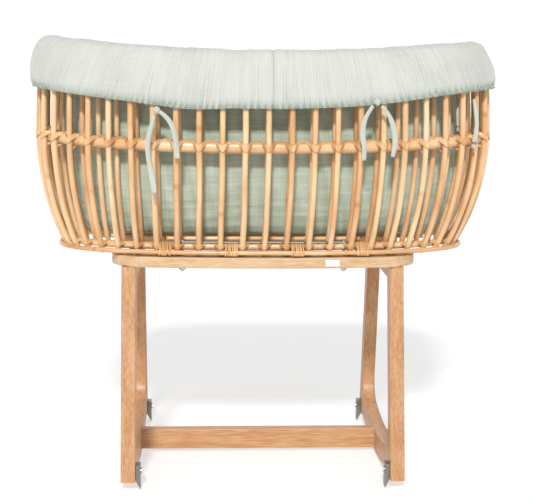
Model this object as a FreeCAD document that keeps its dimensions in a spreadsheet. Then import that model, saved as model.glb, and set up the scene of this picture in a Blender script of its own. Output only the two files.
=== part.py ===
import FreeCAD, Part
import math
import os
import Sketcher
from FreeCAD import Placement, Rotation, Vector

# A rattan bassinet bolted to a rocking beech stand. Millimetres, +Z up, +X along the basket,
# the front of the basket towards -Y. The origin is on the floor under the middle of the basket.

doc = FreeCAD.newDocument("bassinet")
sheet = doc.addObject("Spreadsheet::Sheet", "Sizes")

# alias, value, meaning
SIZES = [
    # stand
    ("stand_shift", -6.0, "stand centre along X, seen from the basket centre"),
    ("frame_gap", 475.0, "clear distance between the two end frames"),
    ("frame_thick", 27.0, "thickness of the end frames along X"),
    ("foot_half_depth", 250.0, "outer face of a foot, from the middle"),
    ("foot_height", 16.0, "underside of the wooden feet above the floor"),
    ("leg_width", 36.0, "leg width along Y"),
    ("leg_top_half", 176.0, "outer face of a leg under the planks, from the middle"),
    ("plank_under", 409.0, "underside of the top planks"),
    ("plank_thick", 20.0, "thickness of the top planks"),
    ("plank_length", 578.0, "length of the top planks"),
    ("plank_shift", 3.0, "plank centre along X, seen from the stand's centre"),
    ("plank_width", 100.0, "width of the top planks"),
    ("plank_front", 198.0, "outer edge of a plank, from the middle"),
    ("plank_bow", 22.0, "how far the outer edge bows over its length"),
    ("plank_corner", 72.0, "rounding of the outer plank corners"),
    ("cross_height", 23.0, "height of the end frames' top members"),
    ("rocker_low", 3.0, "lowest point of the curved bottom member"),
    ("rocker_height", 42.0, "height of the curved bottom member"),
    ("rocker_radius", 860.0, "radius of the underside of the bottom member"),
    ("rocker_half", 150.0, "half length of the bottom member, joint to joint"),
    ("toe_round", 42.0, "inner rounding between leg and bottom member"),
    ("stretcher_low", 8.0, "underside of the stretcher"),
    ("stretcher_height", 41.0, "height of the stretcher"),
    ("stretcher_thick", 24.0, "thickness of the stretcher"),
    ("edge_round", 2.5, "rounding of the wooden edges"),
    # stabilisers
    ("pivot_height", 33.0, "stabiliser pivot above the floor"),
    ("pivot_radius", 3.0, "radius of the pivot pin"),
    ("pivot_clearance", 0.08, "radial play of the pivot pin"),
    ("stay_height", 46.0, "height of a stabiliser"),
    ("stay_width", 22.0, "width of a stabiliser along Y"),
    ("stay_reach", 9.0, "how far a stabiliser stands off the wood"),
    ("stay_sheet", 2.0, "steel thickness of a stabiliser"),
    ("stay_gap", 0.5, "running gap between stabiliser and wood"),
    # basket
    ("waist_half_length", 437.5, "outer stakes' centres at the widest height, along X"),
    ("waist_half_width", 235.5, "the same along Y"),
    ("oval_power", 2.65, "squareness of the oval, 2 is an ellipse"),
    ("stake_count", 54, "number of stake pairs"),
    ("stake_radius", 5.5, "outer stakes"),
    ("inner_stake_radius", 5.0, "inner stakes"),
    ("flare", 50.5, "how far the waist stands out past the base"),
    ("base_shift", -4.5, "base centre along X, seen from the waist's centre"),
    ("base_height", 17.5, "centre of the upper base ring, above the planks"),
    ("waist_height", 221.0, "height where the wall is upright, above the planks"),
    ("ring_height", 205.0, "waist ring centre at the middle of the side, above the planks"),
    ("ring_sheer", 15.0, "how much the waist ring rises to the ends"),
    ("ring_radius", 11.0, "waist ring"),
    ("rim_height", 359.0, "rim pole centre at the middle of the side, above the planks"),
    ("rim_sheer", 26.0, "how much the rim rises to the ends"),
    ("rim_radius", 14.0, "rim pole"),
    ("rim_lean", 6.5, "how far the wall leans in at the rim"),
    ("stake_top", 6.0, "stake ends above the rim pole's centre"),
    ("stake_foot", 4.0, "underside of the outer stakes, above the planks"),
    ("inner_foot", 13.0, "underside of the inner stakes, above the planks"),
    ("base_ring_radius", 6.5, "upper base ring"),
    ("lower_ring_radius", 5.0, "lower base ring"),
    ("lower_ring_height", 8.5, "lower base ring centre, above the planks"),
    ("wall_play", 0.6, "gap left between crossing canes"),
    ("bar_radius", 6.0, "cross bars of the base"),
    ("bar_inner", 61.5, "inner pair of cross bars, from the middle"),
    ("bar_outer", 184.5, "outer pair of cross bars, from the middle"),
    ("rod_radius", 4.5, "lengthwise rods of the base"),
    ("rod_spacing", 45.0, "distance between the rods"),
    ("peel_thick", 1.2, "thickness of the rattan peel"),
    ("peel_width", 8.0, "width of one peel wrap"),
    ("bundle_width", 18.0, "width of a base lashing"),
    # fixings
    ("bolt_radius", 3.0, "anchor bolts"),
    ("bolt_half_span", 151.0, "anchor bolts from the middle, along X"),
    ("bolt_head_radius", 5.5, "dome heads and nuts"),
    ("strap_half_length", 166.0, "half length of the steel straps"),
    ("strap_width", 9.0, "width of the steel straps"),
    ("strap_thick", 2.0, "thickness of the steel straps"),
    ("screw_radius", 2.5, "frame screws"),
    ("screw_head_radius", 5.0, "frame screw heads"),
    ("screw_inner", 112.0, "inner plank screws from the middle, along Y"),
    ("screw_outer", 148.0, "outer plank screws from the middle, along Y"),
    ("strap_offset", 3.0, "strap and bolts outside the upper base ring's centre"),
    ("label_width", 26.0, "blank label plate"),
    ("label_height", 12.0, "blank label plate"),
    ("label_thick", 0.8, "blank label plate"),
    ("label_x", 122.0, "label centre along X"),
    # liner and mattress
    ("cloth_thick", 4.0, "padded cloth of the inner bag"),
    ("cloth_gap", 3.0, "gap between cloth and inner stakes"),
    ("bag_top", 313.0, "top of the inner bag, where the roll starts, above the planks"),
    ("roll_out", 16.0, "how far the roll stands out past the outer stakes' centres"),
    ("roll_hem", 273.0, "lower edge of the roll at the middle of the side, above the planks"),
    ("roll_hem_sheer", 36.0, "how much that edge rises to the ends"),
    ("roll_inner", 8.0, "thickness of the roll on the inside"),
    ("roll_cover", 6.0, "cloth above the rim pole"),
    ("roll_play", 1.5, "gap between the roll and the canes"),
    ("mattress_thick", 40.0, "mattress"),
    ("mattress_gap", 4.0, "gap round the mattress"),
    ("tie_thick", 6.0, "tie cords"),
    ("knot_radius", 7.0, "tie knots"),
]
for row, (alias, value, meaning) in enumerate(SIZES, start=1):
    sheet.set(f"A{row}", alias)
    sheet.set(f"B{row}", str(value))
    sheet.set(f"C{row}", meaning)
    sheet.setAlias(f"B{row}", alias)
doc.recompute()


def size(alias):
    """One driving dimension, read from the sheet."""
    return float(sheet.get(alias))


def level(alias):
    """A height of the basket: it is measured from the top of the planks that carry it."""
    return size("plank_under") + size("plank_thick") + size(alias)


parts = []


def keep(node, label):
    """Name a finished sub-part after its node and list it for export."""
    node.Label = label
    parts.append(node)
    return node


def keep_shape(shape, label, place=None):
    """Hold a shape made from the sheet's sizes as one sub-part."""
    node = doc.addObject("Part::Feature", label)
    node.Shape = shape
    if place is not None:
        node.Placement = place
    return keep(node, label)


# ---------------------------------------------------------------- sketched bodies
def origin_plane(body, role):
    return next(f for f in body.Origin.OriginFeatures if f.Role == role)


def bind(sketch, kind, refs, expression):
    """Add one driving constraint and tie it to an expression of the sheet."""
    guess = sheet.evalExpression(expression.replace("Sizes.", ""))
    guess = float(getattr(guess, "Value", guess))
    index = sketch.addConstraint(Sketcher.Constraint(kind, *refs, guess))
    sketch.setExpression(f"Constraints[{index}]", expression)
    return guess


def outline_sketch(body, role, corners, arcs=None):
    """A closed outline: each corner is a pair of expressions, arcs maps a side to a radius expression.

    A positive bulge sign makes the side's arc swell outwards of the corner order (clockwise side)."""
    arcs = arcs or {}
    sketch = body.newObject("Sketcher::SketchObject", body.Name + "_outline")
    sketch.AttachmentSupport = [(origin_plane(body, role), "")]
    sketch.MapMode = "FlatFace"
    values = []
    for pair in corners:
        values.append([float(getattr(v, "Value", v)) for v in
                       (sheet.evalExpression(e.replace("Sizes.", "")) for e in pair)])
    count = len(corners)
    for side in range(count):
        start = Vector(*values[side], 0)
        end = Vector(*values[(side + 1) % count], 0)
        if side not in arcs:
            sketch.addGeometry(Part.LineSegment(start, end))
            continue
        sign, radius_expression = arcs[side]
        radius = float(sheet.evalExpression(radius_expression.replace("Sizes.", "")))
        half = (end - start).Length / 2
        across = Vector(-(end - start).y, (end - start).x, 0).normalize() * sign
        middle = (start + end) / 2 - across * (radius - math.sqrt(radius ** 2 - half ** 2))
        sketch.addGeometry(Part.Arc(start, middle, end))
    # a clockwise arc's first point is its end, so each side's own start is looked up
    first = [1 if (sketch.getPoint(side, 1) - Vector(*values[side], 0)).Length < 1e-6 else 2
             for side in range(count)]
    for side in range(count):
        after = (side + 1) % count
        refs = (side, 3 - first[side], after, first[after])
        sketch.addConstraint(Sketcher.Constraint("Coincident", *refs))
    for side in range(count):
        bind(sketch, "DistanceX", (-1, 1, side, first[side]), corners[side][0])
        bind(sketch, "DistanceY", (-1, 1, side, first[side]), corners[side][1])
    for side, (sign, radius_expression) in arcs.items():
        bind(sketch, "Radius", (side,), radius_expression)
    return sketch


def padded_outline(name, role, corners, thickness, arcs=None, start=None):
    """A body: one outline padded by a thickness, symmetric unless a start offset is given."""
    body = doc.addObject("PartDesign::Body", name)
    sketch = outline_sketch(body, role, corners, arcs)
    doc.recompute()
    pad = body.newObject("PartDesign::Pad", name + "_pad")
    pad.Profile = sketch
    pad.setExpression("Length", thickness)
    pad.Midplane = start is None
    if start is not None:
        sketch.setExpression("AttachmentOffset.Base.z", start)
    doc.recompute()
    return body, pad


def edges_where(shape, test):
    return [f"Edge{i}" for i, edge in enumerate(shape.Edges, start=1) if test(edge)]


def round_edges(body, base, names, radius_expression):
    """A fillet feature on the named edges of the body's last feature."""
    fillet = body.newObject("PartDesign::Fillet", body.Name + "_round" + str(len(body.Group)))
    fillet.Base = (base, names)
    fillet.setExpression("Radius", radius_expression)
    doc.recompute()
    body.Tip = fillet
    return fillet


def is_straight(edge):
    return isinstance(edge.Curve, Part.Line)


def drill(body, base, role, centres, radius_expression, depth_expression, way):
    """Round holes cut from the role's plane, way +1 or -1 along its normal, to a depth."""
    sketch = body.newObject("Sketcher::SketchObject", body.Name + "_holes")
    sketch.AttachmentSupport = [(origin_plane(body, role), "")]
    sketch.MapMode = "FlatFace"
    for index, (across, up) in enumerate(centres):
        sketch.addGeometry(Part.Circle(Vector(10 * index, 0, 0), Vector(0, 0, 1), 1.0))
        bind(sketch, "DistanceX", (-1, 1, index, 3), across)
        bind(sketch, "DistanceY", (-1, 1, index, 3), up)
        bind(sketch, "Radius", (index,), radius_expression)
    doc.recompute()
    pocket = body.newObject("PartDesign::Pocket", body.Name + "_pocket")
    pocket.Profile = sketch
    pocket.setExpression("Length", depth_expression)
    pocket.Reversed = way > 0
    doc.recompute()
    if pocket.Shape.Volume > base.Shape.Volume - 1:
        raise ValueError(body.Name + ": the holes cut nothing")
    body.Tip = pocket
    return pocket


# ---------------------------------------------------------------- stand: end frames
LEAN = "((Sizes.foot_half_depth - Sizes.leg_top_half) / (Sizes.plank_under - Sizes.foot_height))"
OUTER_TOP = "Sizes.leg_top_half"
INNER_TOP = "(Sizes.leg_top_half - Sizes.leg_width)"
TOE_Y = "Sizes.rocker_half"
TOE_RISE = "(Sizes.rocker_radius - sqrt(Sizes.rocker_radius^2 - Sizes.rocker_half^2))"
TOE_LOW = f"(Sizes.rocker_low + {TOE_RISE})"
TOE_HIGH = f"({TOE_LOW} + Sizes.rocker_height)"
TOE_SLOPE = "(Sizes.rocker_half / sqrt(Sizes.rocker_radius^2 - Sizes.rocker_half^2))"
FOOT_IN = "(Sizes.foot_half_depth - Sizes.leg_width)"
LEG_MIDDLE = "(Sizes.foot_half_depth - Sizes.leg_width / 2)"
PIVOT_HALF = f"({LEG_MIDDLE} - (Sizes.pivot_height - Sizes.foot_height) * {LEAN})"
# where the sloping underside and top of the toe meet the leg's inner face line
TOE_RUN = f"({FOOT_IN} - {TOE_Y})"
HEEL_LOW = f"({TOE_LOW} + {TOE_RUN} * {TOE_SLOPE})"
HEEL_HIGH = f"({TOE_HIGH} + ({TOE_RUN} - 8) * {TOE_SLOPE})"


def leg_inner(height_expression):
    return f"({FOOT_IN} - ({height_expression} - Sizes.foot_height) * {LEAN})"


def make_leg(label, side_x, side_y):
    """A leaning leg with its toe, which carries on into the curved bottom member."""
    corners = [
        ("Sizes.foot_half_depth", "Sizes.foot_height"),
        (OUTER_TOP, "Sizes.plank_under"),
        (INNER_TOP, "Sizes.plank_under"),
        (leg_inner(HEEL_HIGH), HEEL_HIGH),
        (TOE_Y, TOE_HIGH),
        (TOE_Y, TOE_LOW),
        (FOOT_IN, HEEL_LOW),
        (FOOT_IN, "Sizes.foot_height"),
    ]
    body, pad = padded_outline(label, "YZ_Plane", corners, "Sizes.frame_thick")
    knee_y = sheet.evalExpression(leg_inner(HEEL_HIGH).replace("Sizes.", ""))
    knee_z = sheet.evalExpression(HEEL_HIGH.replace("Sizes.", ""))

    def is_knee(edge):
        point = edge.Vertexes[0].Point
        return is_straight(edge) and abs(point.y - knee_y) < 0.01 and abs(point.z - knee_z) < 0.01 \
            and abs(edge.Vertexes[-1].Point.y - point.y) < 0.01
    knee = round_edges(body, pad, edges_where(pad.Shape, is_knee), "Sizes.toe_round")

    def is_long(edge):
        return edge.Length > 120 and is_straight(edge)
    rounded = round_edges(body, knee, edges_where(knee.Shape, is_long), "Sizes.edge_round")
    inwards = -side_x if side_y > 0 else side_x
    drill(body, rounded, "YZ_Plane", [(PIVOT_HALF, "Sizes.pivot_height")], "Sizes.pivot_radius",
          "Sizes.frame_thick / 2", inwards)
    offset = f"Sizes.stand_shift + {side_x} * (Sizes.frame_gap + Sizes.frame_thick) / 2"
    body.setExpression("Placement.Base.x", offset)
    if side_y < 0:
        body.Placement.Rotation = Rotation(Vector(0, 0, 1), 180)
    return keep(body, label)


def make_bottom_member(label, side_x):
    """The curved member between the toes, with concentric under and upper faces."""
    corners = [
        (f"-{TOE_Y}", TOE_LOW),
        (TOE_Y, TOE_LOW),
        (TOE_Y, TOE_HIGH),
        (f"-{TOE_Y}", TOE_HIGH),
    ]
    arcs = {0: (1, "Sizes.rocker_radius"), 2: (-1, "Sizes.rocker_radius")}
    body, pad = padded_outline(label, "YZ_Plane", corners, "Sizes.frame_thick", arcs)

    def is_rim(edge):
        return edge.Length > 200
    round_edges(body, pad, edges_where(pad.Shape, is_rim), "Sizes.edge_round")
    offset = f"Sizes.stand_shift + {side_x} * (Sizes.frame_gap + Sizes.frame_thick) / 2"
    body.setExpression("Placement.Base.x", offset)
    return keep(body, label)


def make_top_member(label, side_x):
    """The level member between the legs, under the planks."""
    low = "(Sizes.plank_under - Sizes.cross_height)"
    corners = [
        (f"-{leg_inner(low)}", low),
        (leg_inner(low), low),
        (INNER_TOP, "Sizes.plank_under"),
        (f"-{INNER_TOP}", "Sizes.plank_under"),
    ]
    body, pad = padded_outline(label, "YZ_Plane", corners, "Sizes.frame_thick")
    offset = f"Sizes.stand_shift + {side_x} * (Sizes.frame_gap + Sizes.frame_thick) / 2"
    body.setExpression("Placement.Base.x", offset)
    return keep(body, label)


for side_name, side_x in (("left", -1), ("right", 1)):
    make_leg(f"front_leg_{side_name}", side_x, -1)
    make_leg(f"rear_leg_{side_name}", side_x, 1)
    make_bottom_member(f"bottom_member_{side_name}", side_x)
    make_top_member(f"top_member_{side_name}", side_x)

# ---------------------------------------------------------------- stand: stretcher and planks
stretcher, stretcher_pad = padded_outline("stretcher", "YZ_Plane", [
    ("-Sizes.stretcher_thick / 2", "Sizes.stretcher_low"),
    ("Sizes.stretcher_thick / 2", "Sizes.stretcher_low"),
    ("Sizes.stretcher_thick / 2", "Sizes.stretcher_low + Sizes.stretcher_height"),
    ("-Sizes.stretcher_thick / 2", "Sizes.stretcher_low + Sizes.stretcher_height"),
], "Sizes.frame_gap")
long_edges = edges_where(stretcher_pad.Shape, lambda edge: edge.Length > 200)
round_edges(stretcher, stretcher_pad, long_edges, "Sizes.edge_round")
stretcher.setExpression("Placement.Base.x", "Sizes.stand_shift")
keep(stretcher, "stretcher")

PLANK_END = "(Sizes.plank_length / 2)"
PLANK_EDGE = "(Sizes.plank_front - Sizes.plank_bow)"
BOW_RADIUS = f"({PLANK_END}^2 / (2 * Sizes.plank_bow) + Sizes.plank_bow / 2)"


def make_plank(label, side_y):
    """A top plank: its outer edge bows gently and its outer corners are well rounded."""
    corners = [
        (f"-{PLANK_END}", "Sizes.plank_front - Sizes.plank_width"),
        (PLANK_END, "Sizes.plank_front - Sizes.plank_width"),
        (PLANK_END, PLANK_EDGE),
        (f"-{PLANK_END}", PLANK_EDGE),
    ]
    body, pad = padded_outline(label, "XY_Plane", corners, "Sizes.plank_thick",
                               {2: (1, BOW_RADIUS)}, "Sizes.plank_under")

    def is_outer_corner(edge):
        low, high = edge.Vertexes[0].Point, edge.Vertexes[-1].Point
        return abs(low.z - high.z) > 1 and low.y > size("plank_front") - size("plank_width") + 1
    corner = round_edges(body, pad, edges_where(pad.Shape, is_outer_corner), "Sizes.plank_corner")

    def is_outer_rim(edge):
        middle = edge.CenterOfMass
        level = abs(edge.Vertexes[0].Z - edge.Vertexes[-1].Z) < 1e-6
        return level and middle.y > size("plank_front") - size("plank_width") + 1
    round_edges(body, corner, edges_where(corner.Shape, is_outer_rim), "Sizes.edge_round")
    body.setExpression("Placement.Base.x", "Sizes.stand_shift + Sizes.plank_shift")
    if side_y < 0:
        body.Placement.Rotation = Rotation(Vector(0, 0, 1), 180)
    return keep(body, label)


make_plank("front_plank", -1)
make_plank("rear_plank", 1)


# ---------------------------------------------------------------- stabilisers
FACE_X = size("frame_gap") / 2
LEG_LEAN = (size("foot_half_depth") - size("leg_top_half")) / (size("plank_under") - size("foot_height"))
PIVOT_Y = size("foot_half_depth") - size("leg_width") / 2 - (size("pivot_height") - size("foot_height")) * LEG_LEAN


def make_stabiliser(label, side_x, side_y):
    """A folded steel stay, open towards the wood, with slanted cheeks and a web that meets the floor.

    It is drawn on the right, with x measured from the wood's face towards the middle."""
    gap, reach, sheet_thick = size("stay_gap"), size("stay_reach"), size("stay_sheet")
    width, tall, slant = size("stay_width"), size("stay_height"), size("foot_height")
    cheek = Part.makePolygon([Vector(gap, -width / 2, slant), Vector(reach, -width / 2, 0),
                              Vector(reach, -width / 2, tall), Vector(gap, -width / 2, tall),
                              Vector(gap, -width / 2, slant)])
    block = Part.Face(cheek).extrude(Vector(0, width, 0))
    hollow = Part.makeBox(reach - sheet_thick, width - 2 * sheet_thick, tall,
                          Vector(0, sheet_thick - width / 2, -sheet_thick))
    hole_radius = size("pivot_radius") + size("pivot_clearance")
    hole = Part.makeCylinder(hole_radius, reach * 3, Vector(-reach, 0, size("pivot_height")),
                             Vector(1, 0, 0))
    stay = block.cut(hollow).cut(hole)
    if side_x > 0:
        stay = stay.mirror(Vector(0, 0, 0), Vector(1, 0, 0))
    place = Placement(Vector(size("stand_shift") + side_x * FACE_X, side_y * PIVOT_Y, 0), Rotation())
    return keep_shape(stay, label, place)


def make_pivot(side_x, side_y):
    """A shoulder screw: pin through the stay into the wood, with a low head over the web."""
    radius, depth, reach = size("pivot_radius"), size("frame_thick") / 2, size("stay_reach")
    inwards = -side_x
    start = Vector(size("stand_shift") + side_x * (FACE_X + depth), side_y * PIVOT_Y, size("pivot_height"))
    pin = Part.makeCylinder(radius, depth + reach + 0.4, start, Vector(inwards, 0, 0))
    head_start = start + Vector(inwards, 0, 0) * (depth + reach + 0.4)
    head = Part.makeCylinder(radius * 2, 2.2, head_start, Vector(inwards, 0, 0))
    return pin.fuse(head).removeSplitter()


CORNERS = [("front_left", -1, -1), ("front_right", 1, -1), ("rear_left", -1, 1), ("rear_right", 1, 1)]
pivots = [make_pivot(side_x, side_y) for name, side_x, side_y in CORNERS]
for name, side_x, side_y in CORNERS:
    make_stabiliser(f"stabiliser_{name}", side_x, side_y)
keep_shape(Part.makeCompound(pivots), "stabiliser_pivots")

# ---------------------------------------------------------------- basket: the oval and the stake profile
WAIST_A, WAIST_B, POWER = size("waist_half_length"), size("waist_half_width"), size("oval_power")
WAIST_Z = level("waist_height")
PAIRS = int(size("stake_count"))


def oval_point(angle):
    """A point of the waist oval, |x/a|^p + |y/b|^p = 1, and its outward normal."""
    c, s = math.cos(angle), math.sin(angle)
    x = math.copysign(WAIST_A * abs(c) ** (2 / POWER), c)
    y = math.copysign(WAIST_B * abs(s) ** (2 / POWER), s)
    nx = math.copysign(abs(x / WAIST_A) ** (POWER - 1) / WAIST_A, x)
    ny = math.copysign(abs(y / WAIST_B) ** (POWER - 1) / WAIST_B, y)
    return Vector(x, y, 0), Vector(nx, ny, 0).normalize()


def even_stations(count):
    """Points and normals at equal arc lengths, half a step off the right-hand tip."""
    fine = 7200
    angles = [2 * math.pi * i / fine for i in range(fine + 1)]
    points = [oval_point(angle)[0] for angle in angles]
    lengths = [0.0]
    for a, b in zip(points, points[1:]):
        lengths.append(lengths[-1] + (b - a).Length)
    stations, index = [], 0
    for k in range(count):
        target = (k + 0.5) * lengths[-1] / count
        while lengths[index + 1] < target:
            index += 1
        share = (target - lengths[index]) / (lengths[index + 1] - lengths[index])
        stations.append(oval_point(angles[index] + share * (angles[index + 1] - angles[index])))
    return stations


def sheer(x, rise):
    """The boat-shaped rise towards the ends."""
    return rise * (x / WAIST_A) ** 2


def arc_radius(rise, setback):
    return (rise ** 2 + setback ** 2) / (2 * setback)


def arc_setback(height, rise, setback):
    """How far an arc that starts upright and stands back by setback after rise is back at a height."""
    radius = arc_radius(rise, setback)
    return radius - math.sqrt(radius ** 2 - height ** 2)


BASE_RISE = WAIST_Z - level("base_height")
RIM_RISE = level("rim_height") - WAIST_Z
BASE_SLOPE = BASE_RISE / (arc_radius(BASE_RISE, size("flare")) - size("flare"))
LEANING = math.sqrt(1 + BASE_SLOPE ** 2)
BASE_SHIFT = Vector(size("base_shift"), 0, 0)


def base_share(z):
    """0 at the waist, 1 at the base ring, following the belly."""
    return arc_setback(WAIST_Z - z, BASE_RISE, size("flare")) / size("flare") if z < WAIST_Z else 0


def wall_inset(z, at_base, at_waist, at_rim):
    """How far a surface of the wall stands inside the waist oval at height z.

    The three insets are extra to the outer stakes' own line at base, waist and rim."""
    if z <= WAIST_Z:
        share = (WAIST_Z - z) / BASE_RISE
        return arc_setback(WAIST_Z - z, BASE_RISE, size("flare")) + at_waist + (at_base - at_waist) * share
    share = (z - WAIST_Z) / RIM_RISE
    return arc_setback(z - WAIST_Z, RIM_RISE, size("rim_lean")) + at_waist + (at_rim - at_waist) * share


stations = even_stations(PAIRS)


def make_stake(station, radius, base_inset, waist_inset, rim_inset, foot):
    """One cane: a straight foot, a bellied arc up to the waist and a gentler arc up to the rim."""
    point, normal = station
    rim_z = level("rim_height") + sheer(point.x, size("rim_sheer")) + size("stake_top")
    waist = point - normal * waist_inset + Vector(0, 0, WAIST_Z)
    inwards = BASE_SHIFT - normal * (size("flare") + base_inset - waist_inset)
    flare = inwards.Length
    slope = BASE_RISE / (arc_radius(BASE_RISE, flare) - flare)
    lean = size("rim_lean") + rim_inset - waist_inset

    def below(drop, setback):
        return waist + inwards * (setback / flare) - Vector(0, 0, drop)

    def above(height):
        return waist - normal * arc_setback(height, RIM_RISE, lean) + Vector(0, 0, height)
    past_base = level("base_height") - foot
    start = below(BASE_RISE + past_base, flare + past_base * slope)
    base = below(BASE_RISE, flare)
    middle = below(BASE_RISE / 2, arc_setback(BASE_RISE / 2, BASE_RISE, flare))
    top = rim_z - WAIST_Z
    path = Part.Wire([Part.LineSegment(start, base).toShape(), Part.Arc(base, middle, waist).toShape(),
                      Part.Arc(waist, above(top / 2), above(top)).toShape()])
    profile = Part.Wire(Part.makeCircle(radius, start, base - start))
    return path.makePipeShell([profile], True, False)


RIM_INSET = size("stake_radius") + size("rim_radius") + size("wall_play")
INNER_AT_RIM = RIM_INSET + size("rim_radius") + size("inner_stake_radius") + size("wall_play")
RING_INSET = size("stake_radius") + size("ring_radius") + size("wall_play")
INNER_AT_WAIST = RING_INSET + size("ring_radius") + size("inner_stake_radius") + 5 * size("wall_play")
BASE_RING_INSET = (size("stake_radius") + size("base_ring_radius") + size("wall_play")) * LEANING
INNER_AT_BASE = BASE_RING_INSET + (size("base_ring_radius") + size("inner_stake_radius")
                                   + size("wall_play")) * LEANING

END_SHARE = 0.8
groups = {"front": [], "rear": [], "left_end": [], "right_end": []}
for station in stations:
    if abs(station[0].x) > END_SHARE * WAIST_A:
        side = "left_end" if station[0].x < 0 else "right_end"
    else:
        side = "front" if station[0].y < 0 else "rear"
    groups[side].append(station)
for side, members in groups.items():
    outer = [make_stake(s, size("stake_radius"), 0, 0, 0, level("stake_foot")) for s in members]
    inner = [make_stake(s, size("inner_stake_radius"), INNER_AT_BASE, INNER_AT_WAIST, INNER_AT_RIM,
                        level("inner_foot")) for s in members]
    keep_shape(Part.makeCompound(outer), f"outer_stakes_{side}")
    keep_shape(Part.makeCompound(inner), f"inner_stakes_{side}")


# ---------------------------------------------------------------- basket: rings
def ring_wires(section):
    """The closed section wires round the basket, one at each station."""
    return [section(point, normal) for point, normal in stations]


def closed_loft(section):
    return Part.makeLoft(ring_wires(section), True, False, True)


def round_ring(inset_at, height, rise, radius):
    """A bent cane that follows the oval at the inset of its own height, rising towards the ends."""
    def section(point, normal):
        z = height + sheer(point.x, rise)
        centre = point - normal * inset_at(z) + Vector(0, 0, z)
        along = Vector(-normal.y, normal.x, 0)
        return Part.Wire(Part.makeCircle(radius, centre, along))
    return closed_loft(section)


BASE_INSET = size("flare") + BASE_RING_INSET
LOWER_INSET = size("flare") + (level("base_height") - level("lower_ring_height")) * BASE_SLOPE \
    - (size("stake_radius") + size("lower_ring_radius") + size("wall_play")) * LEANING
rim_pole = round_ring(lambda z: wall_inset(z, 0, 0, 0) + RIM_INSET,
                      level("rim_height"), size("rim_sheer"), size("rim_radius"))
waist_ring = round_ring(lambda z: RING_INSET, level("ring_height"), size("ring_sheer"), size("ring_radius"))
upper_ring = round_ring(lambda z: BASE_INSET, level("base_height"), 0, size("base_ring_radius"))
upper_ring.translate(BASE_SHIFT)
lower_ring = round_ring(lambda z: LOWER_INSET, level("lower_ring_height"), 0, size("lower_ring_radius"))
lower_ring.translate(BASE_SHIFT)


def side_y(x, inset):
    """Half width of the oval, drawn in by an inset, at a place along X."""
    best = None
    for step in range(1, 1800):
        point, normal = oval_point(math.pi * step / 3600)
        moved = point - normal * inset
        if best is None or abs(moved.x - x) < abs(best.x - x):
            best = moved
    return best.y


# ---------------------------------------------------------------- base: bars, rods, straps and bolts
STRAP_INSET = BASE_INSET - size("strap_offset")
BOLT_Y = side_y(size("bolt_half_span"), STRAP_INSET)
STRAP_Z = level("base_height") + size("base_ring_radius") + size("peel_thick") + 0.4
BOLT_X = [size("stand_shift") + side * size("bolt_half_span") for side in (-1, 1)]
BOLT_PLACES = [Vector(x, side * BOLT_Y, 0) for x in BOLT_X for side in (-1, 1)]
drills = Part.makeCompound([Part.makeCylinder(size("bolt_radius") + 0.2, 100, place + Vector(0, 0, size("plank_under") - 30))
                            for place in BOLT_PLACES])
upper_ring = upper_ring.cut(drills)

bar_end = BASE_INSET + size("base_ring_radius") + size("peel_thick") + 2 * size("wall_play")
bars = []
for x in (-size("bar_outer"), -size("bar_inner"), size("bar_inner"), size("bar_outer")):
    half = side_y(abs(x), bar_end)
    start = Vector(x, -half, level("base_height")) + BASE_SHIFT
    bars.append(Part.makeCylinder(size("bar_radius"), 2 * half, start, Vector(0, 1, 0)))

INNER_BASE_LINE = size("flare") + INNER_AT_BASE
ROD_Z = level("base_height") + size("bar_radius") + size("rod_radius")
rods = []
rod_end = INNER_BASE_LINE + size("inner_stake_radius") + 4 * size("wall_play")
rod_pairs = int((WAIST_B - rod_end - 2 * size("rod_radius")) // size("rod_spacing"))
for k in range(-rod_pairs, rod_pairs + 1):
    y = k * size("rod_spacing")
    reach = 0
    for step in range(0, 1800):
        point, normal = oval_point(math.pi * step / 3600)
        moved = point - normal * (rod_end + size("rod_radius"))
        if moved.y >= abs(y):
            reach = moved.x
            break
    start = Vector(-reach, y, ROD_Z) + BASE_SHIFT
    rods.append(Part.makeCylinder(size("rod_radius"), 2 * reach, start, Vector(1, 0, 0)))


def make_strap(side_y_sign):
    """A thin steel strip on the base ring, drilled for its two bolts."""
    wires = []
    steps = 12
    for k in range(steps + 1):
        x = size("stand_shift") + size("strap_half_length") * (2 * k / steps - 1)
        y = side_y_sign * side_y(abs(x - size("base_shift")), STRAP_INSET)
        middle = Vector(x, y, STRAP_Z)
        half = size("strap_width") / 2
        corners = [Vector(0, -half, 0), Vector(0, half, 0), Vector(0, half, size("strap_thick")),
                   Vector(0, -half, size("strap_thick"))]
        wires.append(Part.makePolygon([middle + c for c in corners + corners[:1]]))
    return Part.makeLoft(wires, True, True, False).cut(drills)


def make_bolt(place):
    """A dome-headed bolt from the strap down through the plank."""
    low = size("plank_under") - 9
    top = STRAP_Z + size("strap_thick")
    shank = Part.makeCylinder(size("bolt_radius"), top - low, place + Vector(0, 0, low))
    head = Part.makeCone(size("bolt_head_radius"), size("bolt_head_radius") * 0.6, 3, place + Vector(0, 0, top))
    return shank.fuse(head)


def make_nut(place):
    """A six-sided nut under the plank."""
    radius = size("bolt_head_radius") * 1.1
    corners = [place + Vector(radius * math.cos(math.pi * k / 3), radius * math.sin(math.pi * k / 3),
                              size("plank_under") - 6) for k in range(7)]
    nut = Part.Face(Part.makePolygon(corners)).extrude(Vector(0, 0, 6))
    return nut.cut(Part.makeCylinder(size("bolt_radius"), 30, place + Vector(0, 0, size("plank_under") - 20)))


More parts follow.
